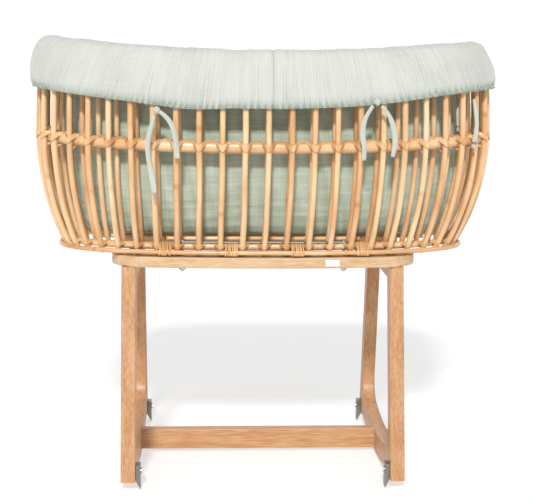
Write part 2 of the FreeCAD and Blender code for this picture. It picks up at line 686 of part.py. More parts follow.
keep_shape(rim_pole, "rim_pole")
keep_shape(waist_ring, "waist_ring")
keep_shape(upper_ring, "upper_base_ring")
keep_shape(lower_ring, "lower_base_ring")
keep_shape(Part.makeCompound(bars), "cross_bars")
keep_shape(Part.makeCompound(rods), "base_rods")
keep_shape(make_strap(-1), "base_strap_front")
keep_shape(make_strap(1), "base_strap_rear")
keep_shape(Part.makeCompound([make_bolt(place) for place in BOLT_PLACES]), "anchor_bolts")
keep_shape(Part.makeCompound([make_nut(place) for place in BOLT_PLACES]), "anchor_nuts")


# ---------------------------------------------------------------- peel bindings
def peel_wrap(centre, along, ring_radius, width):
    """A short sleeve of peel round a cane."""
    inner = ring_radius + 0.2
    start = centre - along * (width / 2)
    tube = Part.makeCylinder(inner + size("peel_thick"), width, start, along)
    return tube.cut(Part.makeCylinder(inner, width, start, along))


waist_wraps = []
for point, normal in stations:
    along = Vector(-normal.y, normal.x, 0)
    for way in (-1, 1):
        shift = way * (size("stake_radius") + size("peel_width") / 2 + 1.5)
        x = point.x + along.x * shift
        bend = 0.5 * shift ** 2 / 700
        height = level("ring_height") + sheer(point.x, size("ring_sheer"))
        slope = 2 * size("ring_sheer") * point.x / WAIST_A ** 2 * along.x
        direction = Vector(along.x, along.y, slope).normalize()
        centre = point - normal * (RING_INSET + bend) + Vector(0, 0, height) + direction * shift
        waist_wraps.append(peel_wrap(centre, direction, size("ring_radius") + 0.5, size("peel_width")))
base_wraps = []
for x in (-size("bar_outer"), -size("bar_inner"), size("bar_inner"), size("bar_outer")):
    for side in (-1, 1):
        y = side * side_y(abs(x), BASE_INSET)
        ahead = side * side_y(abs(x) + 4, BASE_INSET)
        along = Vector(math.copysign(4, x), ahead - y, 0).normalize()
        centre = Vector(x, y, level("base_height")) + BASE_SHIFT
        base_wraps.append(peel_wrap(centre, along, size("base_ring_radius"), size("bundle_width")))
keep_shape(Part.makeCompound(waist_wraps), "waist_bindings")
keep_shape(Part.makeCompound(base_wraps), "base_bindings")


# ---------------------------------------------------------------- liner bag, roll and mattress
def oval_wire(inset, z):
    """A level closed curve round the basket, drawn in from the waist oval by an inset."""
    spline = Part.BSplineCurve()
    middle = BASE_SHIFT * base_share(z) + Vector(0, 0, z)
    spline.interpolate([p - n * inset + middle for p, n in stations], PeriodicFlag=True)
    return Part.Wire(spline.toShape())


BAG_FLOOR = ROD_Z + size("rod_radius") + 0.5
CLOTH_LINE = size("inner_stake_radius") + size("cloth_gap")


def bag_inset(z, extra):
    return wall_inset(z, INNER_AT_BASE, INNER_AT_WAIST, INNER_AT_RIM) + CLOTH_LINE + extra


def bag_solid(extra, floor, top):
    """The bag's volume, drawn in by an extra inset, with a rounded lower edge."""
    rise = top - floor
    levels = [floor, floor + 12] + [floor + rise * share for share in (0.17, 0.35, 0.53, 0.71, 0.85)] + [top]
    wires = [oval_wire(bag_inset(z, extra) + (9 if z == floor else 0), z) for z in levels]
    return Part.makeLoft(wires, True, False, False)


bag_outer = bag_solid(0, BAG_FLOOR, level("bag_top"))
bag_inner = bag_solid(size("cloth_thick"), BAG_FLOOR + size("cloth_thick"), level("bag_top") + 1)
keep_shape(bag_outer.cut(bag_inner), "liner_bag")

ROLL_CEILING = size("rim_radius") + size("roll_play")
ROLL_TOP = ROLL_CEILING + size("roll_cover")
INNER_LEAN = size("rim_lean") + INNER_AT_RIM - INNER_AT_WAIST


def roll_section(point, normal):
    """The padded edge: a deep skirt outside, a cover over the rim pole and a short skirt inside."""
    rim = level("rim_height") + sheer(point.x, size("rim_sheer"))
    hem = level("roll_hem") + sheer(point.x, size("roll_hem_sheer"))
    low = level("bag_top") + 0.5
    out = size("roll_out")
    skin = size("stake_radius") + size("roll_play")
    stake_lean = arc_setback(rim + size("stake_top") - WAIST_Z, RIM_RISE, INNER_LEAN)
    back = INNER_AT_WAIST + stake_lean + size("inner_stake_radius") + size("roll_play")
    face = back + size("roll_inner")
    shoulder = ROLL_TOP / 2
    outline = [(out, hem), (out, rim), (out - shoulder / 4, rim + shoulder), (out - shoulder, rim + ROLL_TOP),
               (-back, rim + ROLL_TOP), (-face + shoulder / 4, rim + shoulder),
               (-face, rim), (-face, low), (-back, low),
               (-back, rim + ROLL_CEILING), (skin, rim + ROLL_CEILING), (skin, hem)]
    corners = [point + normal * d + Vector(0, 0, z) for d, z in outline]
    return Part.makePolygon(corners + corners[:1])


keep_shape(closed_loft(roll_section), "liner_roll")

MATTRESS_LOW = BAG_FLOOR + size("cloth_thick") + 0.5
mattress_extra = size("cloth_thick") + size("mattress_gap")
levels = [(MATTRESS_LOW, 16), (MATTRESS_LOW + 10, 8),
          (MATTRESS_LOW + size("mattress_thick") - 10, 8), (MATTRESS_LOW + size("mattress_thick"), 16)]
lowest_inset = bag_inset(MATTRESS_LOW + 10, mattress_extra)
keep_shape(Part.makeLoft([oval_wire(lowest_inset + pull, z) for z, pull in levels], True, False, False),
           "mattress")

# ---------------------------------------------------------------- screws and label
screws = []
for side_x in (-1, 1):
    outer = size("stand_shift") + side_x * (FACE_X + size("frame_thick"))
    for share in (0.3, 0.75):
        z = size("stretcher_low") + share * size("stretcher_height")
        start = Vector(outer, 0, z)
        shank = Part.makeCylinder(size("screw_radius"), size("frame_thick") + 30, start, Vector(-side_x, 0, 0))
        head = Part.makeCylinder(size("screw_head_radius"), 2, start, Vector(side_x, 0, 0))
        screws.append(shank.fuse(head))
    middle_x = size("stand_shift") + side_x * (FACE_X + size("frame_thick") / 2)
    for side in (-1, 1):
        for y in (size("screw_inner"), size("screw_outer")):
            top = size("plank_under") + size("plank_thick")
            start = Vector(middle_x, side * y, top)
            shank = Part.makeCylinder(size("screw_radius"), size("plank_thick") + 16, start, Vector(0, 0, -1))
            head = Part.makeCylinder(size("screw_head_radius"), 2, start, Vector(0, 0, 1))
            screws.append(shank.fuse(head))
keep_shape(Part.makeCompound(screws), "frame_screws")

bow_radius = (size("plank_length") / 2) ** 2 / (2 * size("plank_bow")) + size("plank_bow") / 2
from_middle = size("label_x") - size("stand_shift") - size("plank_shift")
label_y = -(size("plank_front") - bow_radius + math.sqrt(bow_radius ** 2 - from_middle ** 2))
plate = Part.makeBox(size("label_width"), size("label_thick"), size("label_height"),
                     Vector(-size("label_width") / 2, -size("label_thick"), 0))
label_turn = math.degrees(math.asin(from_middle / bow_radius))
label_z = size("plank_under") + (size("plank_thick") - size("label_height")) / 2
keep_shape(plate, "label_plate", Placement(Vector(size("label_x"), label_y - 0.05, label_z),
                                           Rotation(Vector(0, 0, 1), label_turn)))

# ---------------------------------------------------------------- ties
SHIFT = Vector(size("stand_shift"), 0, 0)
TIE_ROUTES = {
    "tie_front_left_a": [(-199, -252, 692), (-206, -254, 668), (-212, -254, 642), (-209, -253, 612),
                         (-203, -252, 582), (-200, -252, 553)],
    "tie_front_left_b": [(-190, -253, 700), (-176, -255, 690), (-166, -255, 672), (-161, -254, 652),
                         (-159, -253, 632), (-159, -253, 616)],
    "tie_front_right_a": [(191, -251, 712), (181, -254, 698), (174, -255, 679), (173, -255, 657),
                          (179, -254, 636), (177, -253, 614)],
    "tie_front_right_b": [(206, -250, 712), (218, -252, 700), (227, -253, 682), (232, -253, 660),
                          (233, -253, 640), (229, -253, 620)],
    "tie_end_inner": [(369, -142, 722), (366, -144, 704), (365, -146, 687), (367, -147, 672)],
    "tie_end_outer": [(391, -160, 723), (395, -161, 703), (398, -162, 683), (397, -162, 662),
                      (394, -161, 643)],
}
KNOTS = {
    "knot_front_left": ((-195, -252, 702), 7.0),
    "knot_front_right": ((199, -251, 719), 7.0),
    "knot_end_inner": ((367, -147, 666), 5.0),
    "knot_end_outer": ((393, -161, 635), 5.0),
}


def cord_tube(name, route, radius):
    """A tube along straight runs joined by tangent arcs; prints the radii and checks the volume."""
    points = [Vector(*p) + SHIFT for p in route]
    edges, radii, start = [], [], points[0]
    for before, corner, after in zip(points, points[1:], points[2:]):
        back, ahead = (before - corner), (after - corner)
        shorter = min(back.Length, ahead.Length)
        turn = math.pi - back.getAngle(ahead)
        bend = 0.45 * shorter / math.tan(turn / 2)
        enter = corner + back.normalize() * (0.45 * shorter)
        leave = corner + ahead.normalize() * (0.45 * shorter)
        bisector = (back + ahead).normalize()
        nearest = corner + bisector * (bend / math.cos(turn / 2) - bend)
        edges.append(Part.LineSegment(start, enter).toShape())
        edges.append(Part.Arc(enter, nearest, leave).toShape())
        radii.append(round(bend))
        start = leave
    edges.append(Part.LineSegment(start, points[-1]).toShape())
    path = Part.Wire(edges)
    profile = Part.Wire(Part.makeCircle(radius, points[0], points[1] - points[0]))
    tube = path.makePipeShell([profile], True, False)
    share = tube.Volume / (math.pi * radius ** 2 * path.Length)
    print(name, "length", round(path.Length), "bends", radii, "volume share", round(share, 3))
    if abs(share - 1) > 0.02:
        raise ValueError(name + ": the tube's volume doesn't match its length")
    return tube


for name, route in TIE_ROUTES.items():
    keep_shape(cord_tube(name, route, size("tie_thick") / 2), name)
for name, (centre, radius) in KNOTS.items():
    keep_shape(Part.makeSphere(radius, Vector(*centre) + SHIFT), name)

# ---------------------------------------------------------------- plank holes for the anchor bolts
for plank_name, turned in (("front_plank", -1), ("rear_plank", 1)):
    body = next(node for node in parts if node.Label == plank_name)
    holes = [(str(turned * (side * size("bolt_half_span") - size("plank_shift"))), str(BOLT_Y))
             for side in (-1, 1)]
    drill(body, body.Tip, "XY_Plane", holes, "Sizes.bolt_radius + 0.2", "Sizes.plank_under * 2", 1)

# ---------------------------------------------------------------- checks and export
doc.recompute()
for item in doc.Objects:
    if "Invalid" in item.State or "Error" in item.State:
        raise ValueError(item.Label + " did not rebuild: " + str(item.State))
names = [node.Label for node in parts]
if len(set(names)) != len(names):
    raise ValueError("two sub-parts share a name")
for node in parts:
    if node.Shape.isNull() or not node.Shape.isValid() or node.Shape.Volume <= 0:
        raise ValueError(node.Label + " has no valid solid")
os.makedirs("parts", exist_ok=True)
for node in parts:
    node.Shape.exportStep(f"parts/{node.Label}.step")
    box = node.Shape.optimalBoundingBox()
    print(f"{node.Label:26s} {node.Shape.Volume / 1000:9.1f} cm3  x {box.XMin:.1f}..{box.XMax:.1f}"
          f"  y {box.YMin:.1f}..{box.YMax:.1f}  z {box.ZMin:.1f}..{box.ZMax:.1f}")
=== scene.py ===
# %% [markdown]
# A bassinet: an open basket of round rattan canes, a padded cotton liner whose deep edge folds
# over the rim, and a rocking stand of beech. The measured frame brings every piece at its real
# place and size, so a new surface is worked out from the same sizes and then replaces the plain
# solid that it stands for.

# %% Load the measured frame
import math

import bpy
import numpy as np
from mathutils import Matrix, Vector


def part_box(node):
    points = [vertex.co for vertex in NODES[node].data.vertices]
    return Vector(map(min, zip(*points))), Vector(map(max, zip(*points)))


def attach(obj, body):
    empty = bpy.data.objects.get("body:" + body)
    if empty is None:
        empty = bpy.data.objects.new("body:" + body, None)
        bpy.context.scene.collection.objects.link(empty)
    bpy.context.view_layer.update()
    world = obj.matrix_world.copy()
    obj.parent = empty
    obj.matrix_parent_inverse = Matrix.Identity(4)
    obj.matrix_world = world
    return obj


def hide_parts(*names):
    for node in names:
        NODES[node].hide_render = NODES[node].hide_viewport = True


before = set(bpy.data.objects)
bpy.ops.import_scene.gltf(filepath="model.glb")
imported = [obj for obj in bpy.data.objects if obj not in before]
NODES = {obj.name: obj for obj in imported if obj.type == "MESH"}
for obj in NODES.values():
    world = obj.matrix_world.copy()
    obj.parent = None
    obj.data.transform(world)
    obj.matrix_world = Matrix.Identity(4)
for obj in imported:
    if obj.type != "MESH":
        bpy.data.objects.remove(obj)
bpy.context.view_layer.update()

scene = bpy.context.scene
BODY = "stand_and_basket"
MM = 0.001

# %% [markdown]
# The camera stands in front of the basket, a little to the left and above the rim, and looks
# slightly down. A long lens keeps the legs nearly parallel. Its three turns are written as
# matrices, because a roll about the line of sight has to come before the tilt and the turn.

# %% Camera
camera_data = bpy.data.cameras.new("camera")
camera_data.sensor_width = 36.0
camera_data.lens = 85.27
camera = bpy.data.objects.new("camera", camera_data)
scene.collection.objects.link(camera)
look_right, look_down, roll = math.radians(2.664), math.radians(8.249), math.radians(0.448)
aim = Matrix.Rotation(-look_right, 4, "Z") @ Matrix.Rotation(math.pi / 2 - look_down, 4, "X")
camera.matrix_world = Matrix.Translation((-0.1087, -2.5072, 0.7766)) @ aim @ Matrix.Rotation(roll, 4, "Z")
scene.camera = camera
print("camera at", [round(v, 3) for v in camera.location])

# %% [markdown]
# Colours are picked as sRGB hex values, the way a paint chart gives them, but a shader works in
# linear light. One function converts them, and one more adds a node, sets it and links it, so
# that each material below reads as a short recipe.

# %% Colour and node helpers
def linear(hex_colour):
    """An sRGB hex colour as linear RGBA: each channel undone with the sRGB curve."""
    channels = [int(hex_colour[i:i + 2], 16) / 255 for i in (1, 3, 5)]
    return [c / 12.92 if c <= 0.04045 else ((c + 0.055) / 1.055) ** 2.4 for c in channels] + [1.0]


def add(tree, kind, inputs=None, **settings):
    """Adds one node. Settings go to its properties; each input is a value or another node's socket."""
    node = tree.nodes.new("ShaderNode" + kind)
    for name, value in settings.items():
        setattr(node, name, value)
    for name, value in (inputs or {}).items():
        if isinstance(value, bpy.types.NodeSocket):
            tree.links.new(value, node.inputs[name])
        else:
            node.inputs[name].default_value = value
    return node


def ramp(tree, factor, stops):
    """A colour ramp through (place, hex) stops, driven by a factor socket."""
    node = add(tree, "ValToRGB", {"Fac": factor})
    elements = node.color_ramp.elements
    while len(elements) < len(stops):
        elements.new(0.5)
    for element, (place, colour) in zip(elements, stops):
        element.position = place
        element.color = linear(colour)
    return node.outputs["Color"]


def new_material(name):
    """An empty node material with its Principled shader, and both as a pair."""
    material = bpy.data.materials.new(name)
    material.use_nodes = True
    return material, material.node_tree, material.node_tree.nodes["Principled BSDF"]


print("helpers ready")

# %% [markdown]
# Steamed beech is pale and pinkish, with a faint long grain and short darker flecks. The noise is
# squeezed along one axis, so each board gets the grain in its own length. Real flecks are 0.5 mm
# wide, too fine to show here, so they are drawn about 2 mm wide.

# %% Beech
def beech(name, along, stops=((0.25, "#B07B50"), (0.5, "#BA8B60"), (0.8, "#C39A71"))):
    """Lacquered beech with its grain along one of the axes 0, 1 or 2."""
    material, tree, shader = new_material(name)
    place = add(tree, "TexCoord").outputs["Object"]
    stretch = [1.0, 1.0, 1.0]
    stretch[along] = 0.06
    grain_space = add(tree, "Mapping", {"Vector": place, "Scale": stretch}).outputs["Vector"]
    bands = add(tree, "TexNoise", {"Vector": grain_space, "Scale": 70, "Detail": 6, "Roughness": 0.55,
                                   "Distortion": 0.6}).outputs["Fac"]
    flecks = add(tree, "TexNoise", {"Vector": grain_space, "Scale": 480, "Detail": 2}).outputs["Fac"]
    mixed = add(tree, "Math", {0: bands, 1: flecks}, operation="ADD").outputs[0]
    halved = add(tree, "Math", {0: mixed, 1: 0.5}, operation="MULTIPLY").outputs[0]
    spread = add(tree, "MapRange", {"Value": halved, "From Min": 0.33, "From Max": 0.67}).outputs[0]
    tree.links.new(ramp(tree, spread, stops), shader.inputs["Base Color"])
    bump = add(tree, "Bump", {"Height": halved, "Strength": 0.25, "Distance": 0.4 * MM})
    tree.links.new(bump.outputs["Normal"], shader.inputs["Normal"])
    shader.inputs["Roughness"].default_value = 0.42
    shader.inputs["IOR"].default_value = 1.5
    return material


beech_upright = beech("beech_upright", 2)
beech_crosswise = beech("beech_crosswise", 1)
beech_lengthwise = beech("beech_lengthwise", 0, ((0.2, "#BF996F"), (0.5, "#CAA982"), (0.8, "#D2B794")))
beech_stretcher = beech("beech_stretcher", 0)
print("beech in three grain directions")

# %% [markdown]
# Zinc-plated steel is a bright, slightly milky metal. The folded stays are a darker, passivated
# zinc. A blank card label is paper. None of them carries any lettering.

# %% Metals and card
def zinc(name, colour, roughness):
    """Zinc on steel: metallic, with cloudy roughness a few millimetres across."""
    material, tree, shader = new_material(name)
    place = add(tree, "TexCoord").outputs["Object"]
    cloud = add(tree, "TexNoise", {"Vector": place, "Scale": 260, "Detail": 4}).outputs["Fac"]
    rough = add(tree, "MapRange", {"Value": cloud, "To Min": roughness - 0.07, "To Max": roughness + 0.1})
    tree.links.new(rough.outputs[0], shader.inputs["Roughness"])
    shader.inputs["Base Color"].default_value = linear(colour)
    shader.inputs["Metallic"].default_value = 1.0
    return material


bright_zinc = zinc("bright_zinc", "#C9C9C6", 0.32)
dark_zinc = zinc("dark_zinc", "#8D8A86", 0.42)
card, card_tree, card_shader = new_material("blank_card")
fibre = add(card_tree, "TexNoise", {"Vector": add(card_tree, "TexCoord").outputs["Object"], "Scale": 900})
card_tree.links.new(ramp(card_tree, fibre.outputs["Fac"], ((0.3, "#ECEAE4"), (0.7, "#F6F5F1"))),
                    card_shader.inputs["Base Color"])
card_shader.inputs["Roughness"].default_value = 0.7
print("zinc and card")

# %% [markdown]
# The stand's boards, screws and stays already have their true shapes, so they keep their solids
# and only receive materials.


def dress(material, *names):
    """Gives measured pieces a material."""
    for name in names:
        mesh = NODES[name].data
        mesh.materials.clear()
        mesh.materials.append(material)


for side in ("left", "right"):
    dress(beech_upright, f"front_leg_{side}", f"rear_leg_{side}")
    dress(beech_crosswise, f"bottom_member_{side}", f"top_member_{side}")
    for end in ("front", "rear"):
        dress(dark_zinc, f"stabiliser_{end}_{side}")
dress(beech_lengthwise, "front_plank", "rear_plank")
dress(beech_stretcher, "stretcher")
dress(bright_zinc, "stabiliser_pivots", "frame_screws", "anchor_bolts", "anchor_nuts", "base_strap_front",
      "base_strap_rear")
dress(card, "label_plate")
print("stand dressed")

# %% [markdown]
# Peeled rattan is a solid cane, lacquered satin. It is honey coloured, lighter where the skin is
# thin, with long fibres and a faint darker ring every 20 to 30 cm where a leaf grew. The pattern
# follows each cane's own map: across is its circumference and along is its length in metres, and a
# tone stored per cane makes neighbours differ.

# %% Rattan
def rattan(name, stops, fibre_strength=0.3):
    """Lacquered cane that reads the map for its fibres and two stored values, tone and knot."""
    material, tree, shader = new_material(name)
    map_out = add(tree, "UVMap", uv_map="UVMap").outputs["UV"]
    tone = add(tree, "Attribute", attribute_name="tone").outputs["Fac"]
    knot = add(tree, "Attribute", attribute_name="knot").outputs["Fac"]
    shifted = add(tree, "CombineXYZ", {"X": tone, "Y": tone, "Z": tone}).outputs[0]
    moved = add(tree, "VectorMath", {0: shifted, 1: (37.0, 91.0, 53.0)}, operation="MULTIPLY_ADD")
    tree.links.new(map_out, moved.inputs[2])
    own = moved.outputs[0]
    long_space = add(tree, "Mapping", {"Vector": own, "Scale": (1.0, 9.0, 1.0)}).outputs[0]
    clouds = add(tree, "TexNoise", {"Vector": long_space, "Scale": 1.3, "Detail": 4}).outputs["Fac"]
    fibre_space = add(tree, "Mapping", {"Vector": own, "Scale": (26.0, 22.0, 1.0)}).outputs[0]
    fibres = add(tree, "TexNoise", {"Vector": fibre_space, "Scale": 1.0, "Detail": 3}).outputs["Fac"]
    blend = add(tree, "Mix", {0: 0.3, 2: clouds, 3: fibres}, data_type="FLOAT").outputs[0]
    toned = add(tree, "Math", {0: tone, 1: 0.22, 2: blend}, operation="MULTIPLY_ADD").outputs[0]
    darker = add(tree, "Math", {0: knot, 1: -0.22, 2: toned}, operation="MULTIPLY_ADD").outputs[0]
    tree.links.new(ramp(tree, darker, stops), shader.inputs["Base Color"])
    bump = add(tree, "Bump", {"Height": fibres, "Strength": fibre_strength, "Distance": 0.5 * MM})
    tree.links.new(bump.outputs["Normal"], shader.inputs["Normal"])
    shader.inputs["Roughness"].default_value = 0.36
    shader.inputs["IOR"].default_value = 1.5
    shader.inputs["Coat Weight"].default_value = 0.25
    shader.inputs["Coat Roughness"].default_value = 0.2
    return material


cane = rattan("lacquered_cane", ((0.15, "#B87F4A"), (0.42, "#D7A776"), (0.62, "#E6C496"), (0.85, "#EFDBBA")))
peel = rattan("rattan_peel", ((0.2, "#B67B45"), (0.5, "#DBAC79"), (0.85, "#EACB9E")), 0.5)
print("cane and peel")

# %% [markdown]
# The liner is crinkled cotton gauze, nearly white with a hint of sage. Its threads are 0.4 mm
# apart, too fine to show, but the cloth puckers in long thin crinkles 5 to 7 mm apart, and those are
# drawn as bumps and as painted shade in the colour: mostly up and down on the deep edge, and mostly
# level on the bag. Wavy bands give their rhythm and noise breaks it up. They follow the cloth's own
# map, which leans where the cloth is drawn together. Folds are real geometry, made further on, and
# each stores how much painted shade its valley gets: the colour there is painted darker and greener.

# %% Cotton
def cotton(name, stops, crinkle_spacing, level=0.0, relief_depth=2.6, valley_shade="#75886C", roughness=0.9):
    """Soft crinkled cotton. The map is in metres, so the spacing is a real distance.

    Level, from 0 to 1, is how much of the crinkle runs across instead of up and down."""
    material, tree, shader = new_material(name)
    map_out = add(tree, "UVMap", uv_map="UVMap").outputs["UV"]
    crease_shade = add(tree, "Attribute", attribute_name="crease_shade").outputs["Fac"]
    long_space = add(tree, "Mapping", {"Vector": map_out, "Scale": (1.0, 0.07, 1.0)}).outputs[0]
    bands = add(tree, "TexWave", {"Vector": long_space, "Scale": math.pi / (10 * crinkle_spacing),
                                  "Distortion": 9.0, "Detail": 3, "Detail Scale": 0.5,
                                  "Detail Roughness": 0.6}).outputs["Fac"]
    ragged = add(tree, "TexNoise", {"Vector": long_space, "Scale": 1 / crinkle_spacing, "Detail": 3,
                                    "Roughness": 0.6}).outputs["Fac"]
    upright = add(tree, "Mix", {0: 0.68, 2: bands, 3: ragged}, data_type="FLOAT").outputs[0]
    wide_space = add(tree, "Mapping", {"Vector": map_out, "Scale": (0.06, 1.0, 1.0)}).outputs[0]
    across = add(tree, "TexNoise", {"Vector": wide_space, "Scale": 1 / crinkle_spacing, "Detail": 3,
                                    "Roughness": 0.6}).outputs["Fac"]
    crinkle = add(tree, "Mix", {0: level, 2: upright, 3: across}, data_type="FLOAT").outputs[0]
    patches = add(tree, "TexNoise", {"Vector": map_out, "Scale": 14, "Detail": 5}).outputs["Fac"]
    # The colour ramp reads the crinkles as well as broad patches: the crinkles in it are painted shade.
    shade = add(tree, "Mix", {0: 0.6, 2: patches, 3: crinkle}, data_type="FLOAT").outputs[0]
    plain = ramp(tree, shade, stops)
    # Painted shade: the stored value mixes the colour towards a dark green in the fold valleys.
    shade_weight = add(tree, "MapRange", {"Value": crease_shade, "To Max": 0.85}).outputs[0]
    shaded_colour = add(tree, "Mix", {0: shade_weight}, data_type="RGBA")
    tree.links.new(plain, shaded_colour.inputs[6])
    shaded_colour.inputs[7].default_value = linear(valley_shade)
    tree.links.new(shaded_colour.outputs[2], shader.inputs["Base Color"])
    fluff = add(tree, "TexNoise", {"Vector": map_out, "Scale": 420, "Detail": 3}).outputs["Fac"]
    relief = add(tree, "Mix", {0: 0.2, 2: crinkle, 3: fluff}, data_type="FLOAT").outputs[0]
    bump = add(tree, "Bump", {"Height": relief, "Strength": 0.75, "Distance": relief_depth * MM})
    tree.links.new(bump.outputs["Normal"], shader.inputs["Normal"])
    shader.inputs["Roughness"].default_value = roughness
    shader.inputs["Sheen Weight"].default_value = 0.25
    shader.inputs["Sheen Roughness"].default_value = 0.5
    return material


gauze = cotton("cotton_gauze", ((0.28, "#ABAEA4"), (0.46, "#C2C4BD"), (0.7, "#CCCEC8")), 5 * MM, 0.24)
# The bag is the same gauze as the deep edge; this copy is darker and greener, as painted shade for the inside
# of the basket.
gauze_in_shade = cotton("cotton_gauze_bag_shaded", ((0.34, "#9CAB99"), (0.48, "#B6C2B1"), (0.62, "#C8D0C3")), 7 * MM,
                     level=0.75)
cover = cotton("mattress_cotton", ((0.3, "#E4E3DC"), (0.6, "#EFEEE9")), 4 * MM, 0.5, 0.8)
tape = cotton("muslin_tape", ((0.3, "#ADB1A4"), (0.6, "#C2C6B9")), 2.5 * MM, 0.3, 0.8)
print("cotton finishes")

# %% [markdown]
# Every woven or sewn surface below is a grid of points. This helper turns such a grid into a
# mesh, with a map in metres and any stored values, closes it round either way, and hands it to the
# body that carries it.

# %% Grid surfaces
def grid_piece(name, points, material, replaced, maps=None, wrap_rows=False, wrap_columns=False,
               stored=None, faces=None, body=BODY):
    """A mesh from points[row, column], or from a flat list of points with its faces given."""
    if faces is None:
        rows, columns = points.shape[:2]
        index = np.arange(rows * columns).reshape(rows, columns)
        if wrap_rows:
            index = np.vstack([index, index[:1]])
        if wrap_columns:
            index = np.hstack([index, index[:, :1]])
        quads = [index[:-1, :-1], index[:-1, 1:], index[1:, 1:], index[1:, :-1]]
        faces = np.stack(quads, -1).reshape(-1, 4)
    flat = points.reshape(-1, 3)
    mesh = bpy.data.meshes.new(name)
    mesh.from_pydata(flat, [], faces)
    mesh.polygons.foreach_set("use_smooth", np.ones(len(mesh.polygons), bool))
    if maps is not None:
        layer = mesh.uv_layers.new(name="UVMap")
        corners = np.empty(len(mesh.loops), int)
        mesh.loops.foreach_get("vertex_index", corners)
        layer.data.foreach_set("uv", maps.reshape(-1, 2)[corners].ravel())
    for key, values in (stored or {}).items():
        mesh.attributes.new(key, "FLOAT", "POINT").data.foreach_set("value", values.ravel())
    mesh.materials.append(material)
    mesh.validate()
    piece = bpy.data.objects.new(name, mesh)
    scene.collection.objects.link(piece)
    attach(piece, body)
    if replaced:
        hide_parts(*replaced)
    print(f"{name}: {len(mesh.polygons)} faces")
    return piece


# %% [markdown]
# A free tie is a strip of muslin tape that hangs from its knot.

# %% Ties
def smooth_line(name, route):
    """Points of a smooth open NURBS line with these control points."""
    curve = bpy.data.curves.new(name, "CURVE")
    curve.dimensions = "3D"
    curve.resolution_u = 8
    spline = curve.splines.new("NURBS")
    spline.points.add(len(route) - 1)
    spline.points.foreach_set("co", np.hstack([route, np.ones((len(route), 1))]).ravel())
    spline.order_u = 3
    spline.use_endpoint_u = True
    holder = bpy.data.objects.new(name, curve)
    line = bpy.data.meshes.new_from_object(holder)
    points = np.empty(len(line.vertices) * 3)
    line.vertices.foreach_get("co", points)
    bpy.data.objects.remove(holder)
    return points.reshape(-1, 3)


TIE_SHIFT = np.array([-6.0, 0.0, 0.0])
TIE_ROUTES = {
    "tie_front_left_a": [(-199, -252, 692), (-206, -251, 668), (-212, -248, 642), (-209, -246, 612),
                         (-203, -245, 582), (-200, -245, 553)],
    "tie_front_left_b": [(-190, -253, 700), (-176, -253, 690), (-166, -251, 672), (-161, -249, 652),
                         (-159, -247, 632), (-159, -247, 616)],
    "tie_front_right_a": [(191, -251, 712), (181, -251, 698), (174, -249, 679), (173, -247, 657),
                          (179, -246, 636), (177, -245, 614)],
    "tie_front_right_b": [(206, -250, 712), (218, -249, 700), (227, -247, 682), (232, -245, 660),
                          (233, -245, 640), (229, -245, 620)],
    "tie_end_inner": [(369, -142, 722), (366, -144, 704), (365, -146, 687), (367, -147, 672)],
    "tie_end_outer": [(391, -160, 723), (395, -161, 703), (398, -162, 683), (397, -162, 662),
                      (394, -161, 643)],
}
TAPE_WIDTHS = {"tie_end_inner": 8.0, "tie_end_outer": 8.5}
FRONT_TAPE = 9.5


def lengths_along(line):
    """Running length at each point of a line."""
    return np.concatenate([[0], np.cumsum(np.linalg.norm(np.diff(line, axis=0), axis=1))])


def tape_piece(name, route, seed):
    """A cupped ribbon: each cross-section is an arc of nine points, thickened into a closed strip."""
    line = smooth_line(name, (np.array(route) + TIE_SHIFT) * MM)
    run = lengths_along(line)
    tangent = np.gradient(line, axis=0)
    tangent /= np.linalg.norm(tangent, axis=1, keepdims=True)
    front = np.tile([0.12, -1.0, 0.0], (len(line), 1))
    wide = np.cross(tangent, front)
    wide /= np.linalg.norm(wide, axis=1, keepdims=True)
    out = np.cross(wide, tangent)
    random = np.random.default_rng(seed)
    share = run / run[-1]
    tape_width = TAPE_WIDTHS.get(name, FRONT_TAPE) * MM
    width = tape_width * (0.62 + 0.38 * np.clip(share / 0.35, 0, 1) + 0.06 * np.sin(9 * share + seed))
    turn = 0.5 * np.sin(2.3 * share * math.pi + random.uniform(0, 6)) * share
    across = np.linspace(-0.5, 0.5, 9)
    cup = 0.22 * (1.2 - share)[:, None] * (1 - (2 * across[None]) ** 2)
    side = wide * np.cos(turn)[:, None] + out * np.sin(turn)[:, None]
    face = out * np.cos(turn)[:, None] - wide * np.sin(turn)[:, None]
    top = line[:, None] + side[:, None] * (across * width[:, None])[..., None] \
        + face[:, None] * (cup * width[:, None])[..., None]
    under = top[:, ::-1] - face[:, None] * 1.1 * MM
    ring = np.concatenate([top, under], axis=1)
    ends = [ring.mean(1)[[0, -1]][k] for k in (0, 1)]
    ring = np.concatenate([np.broadcast_to(ends[0], ring[:1].shape), ring,
                           np.broadcast_to(ends[1], ring[:1].shape)], axis=0)
    rows = np.concatenate([run[:1], run, run[-1:]])
    columns = np.concatenate([across, across[::-1]]) * tape_width
    maps = np.stack(np.broadcast_arrays(columns[None, :], rows[:, None]), -1)
    piece = grid_piece(name + "_tape", ring, tape, [name], maps, wrap_columns=True)
    return piece


for number, (tie, route) in enumerate(TIE_ROUTES.items()):
    tape_piece(tie, route, number)


# %% [markdown]
# Where two tapes meet they are tied in a small overhand knot. Each knot is a ball squeezed out of
# round, whose surface rises and falls with two crossing waves, as the turns of the tape do.

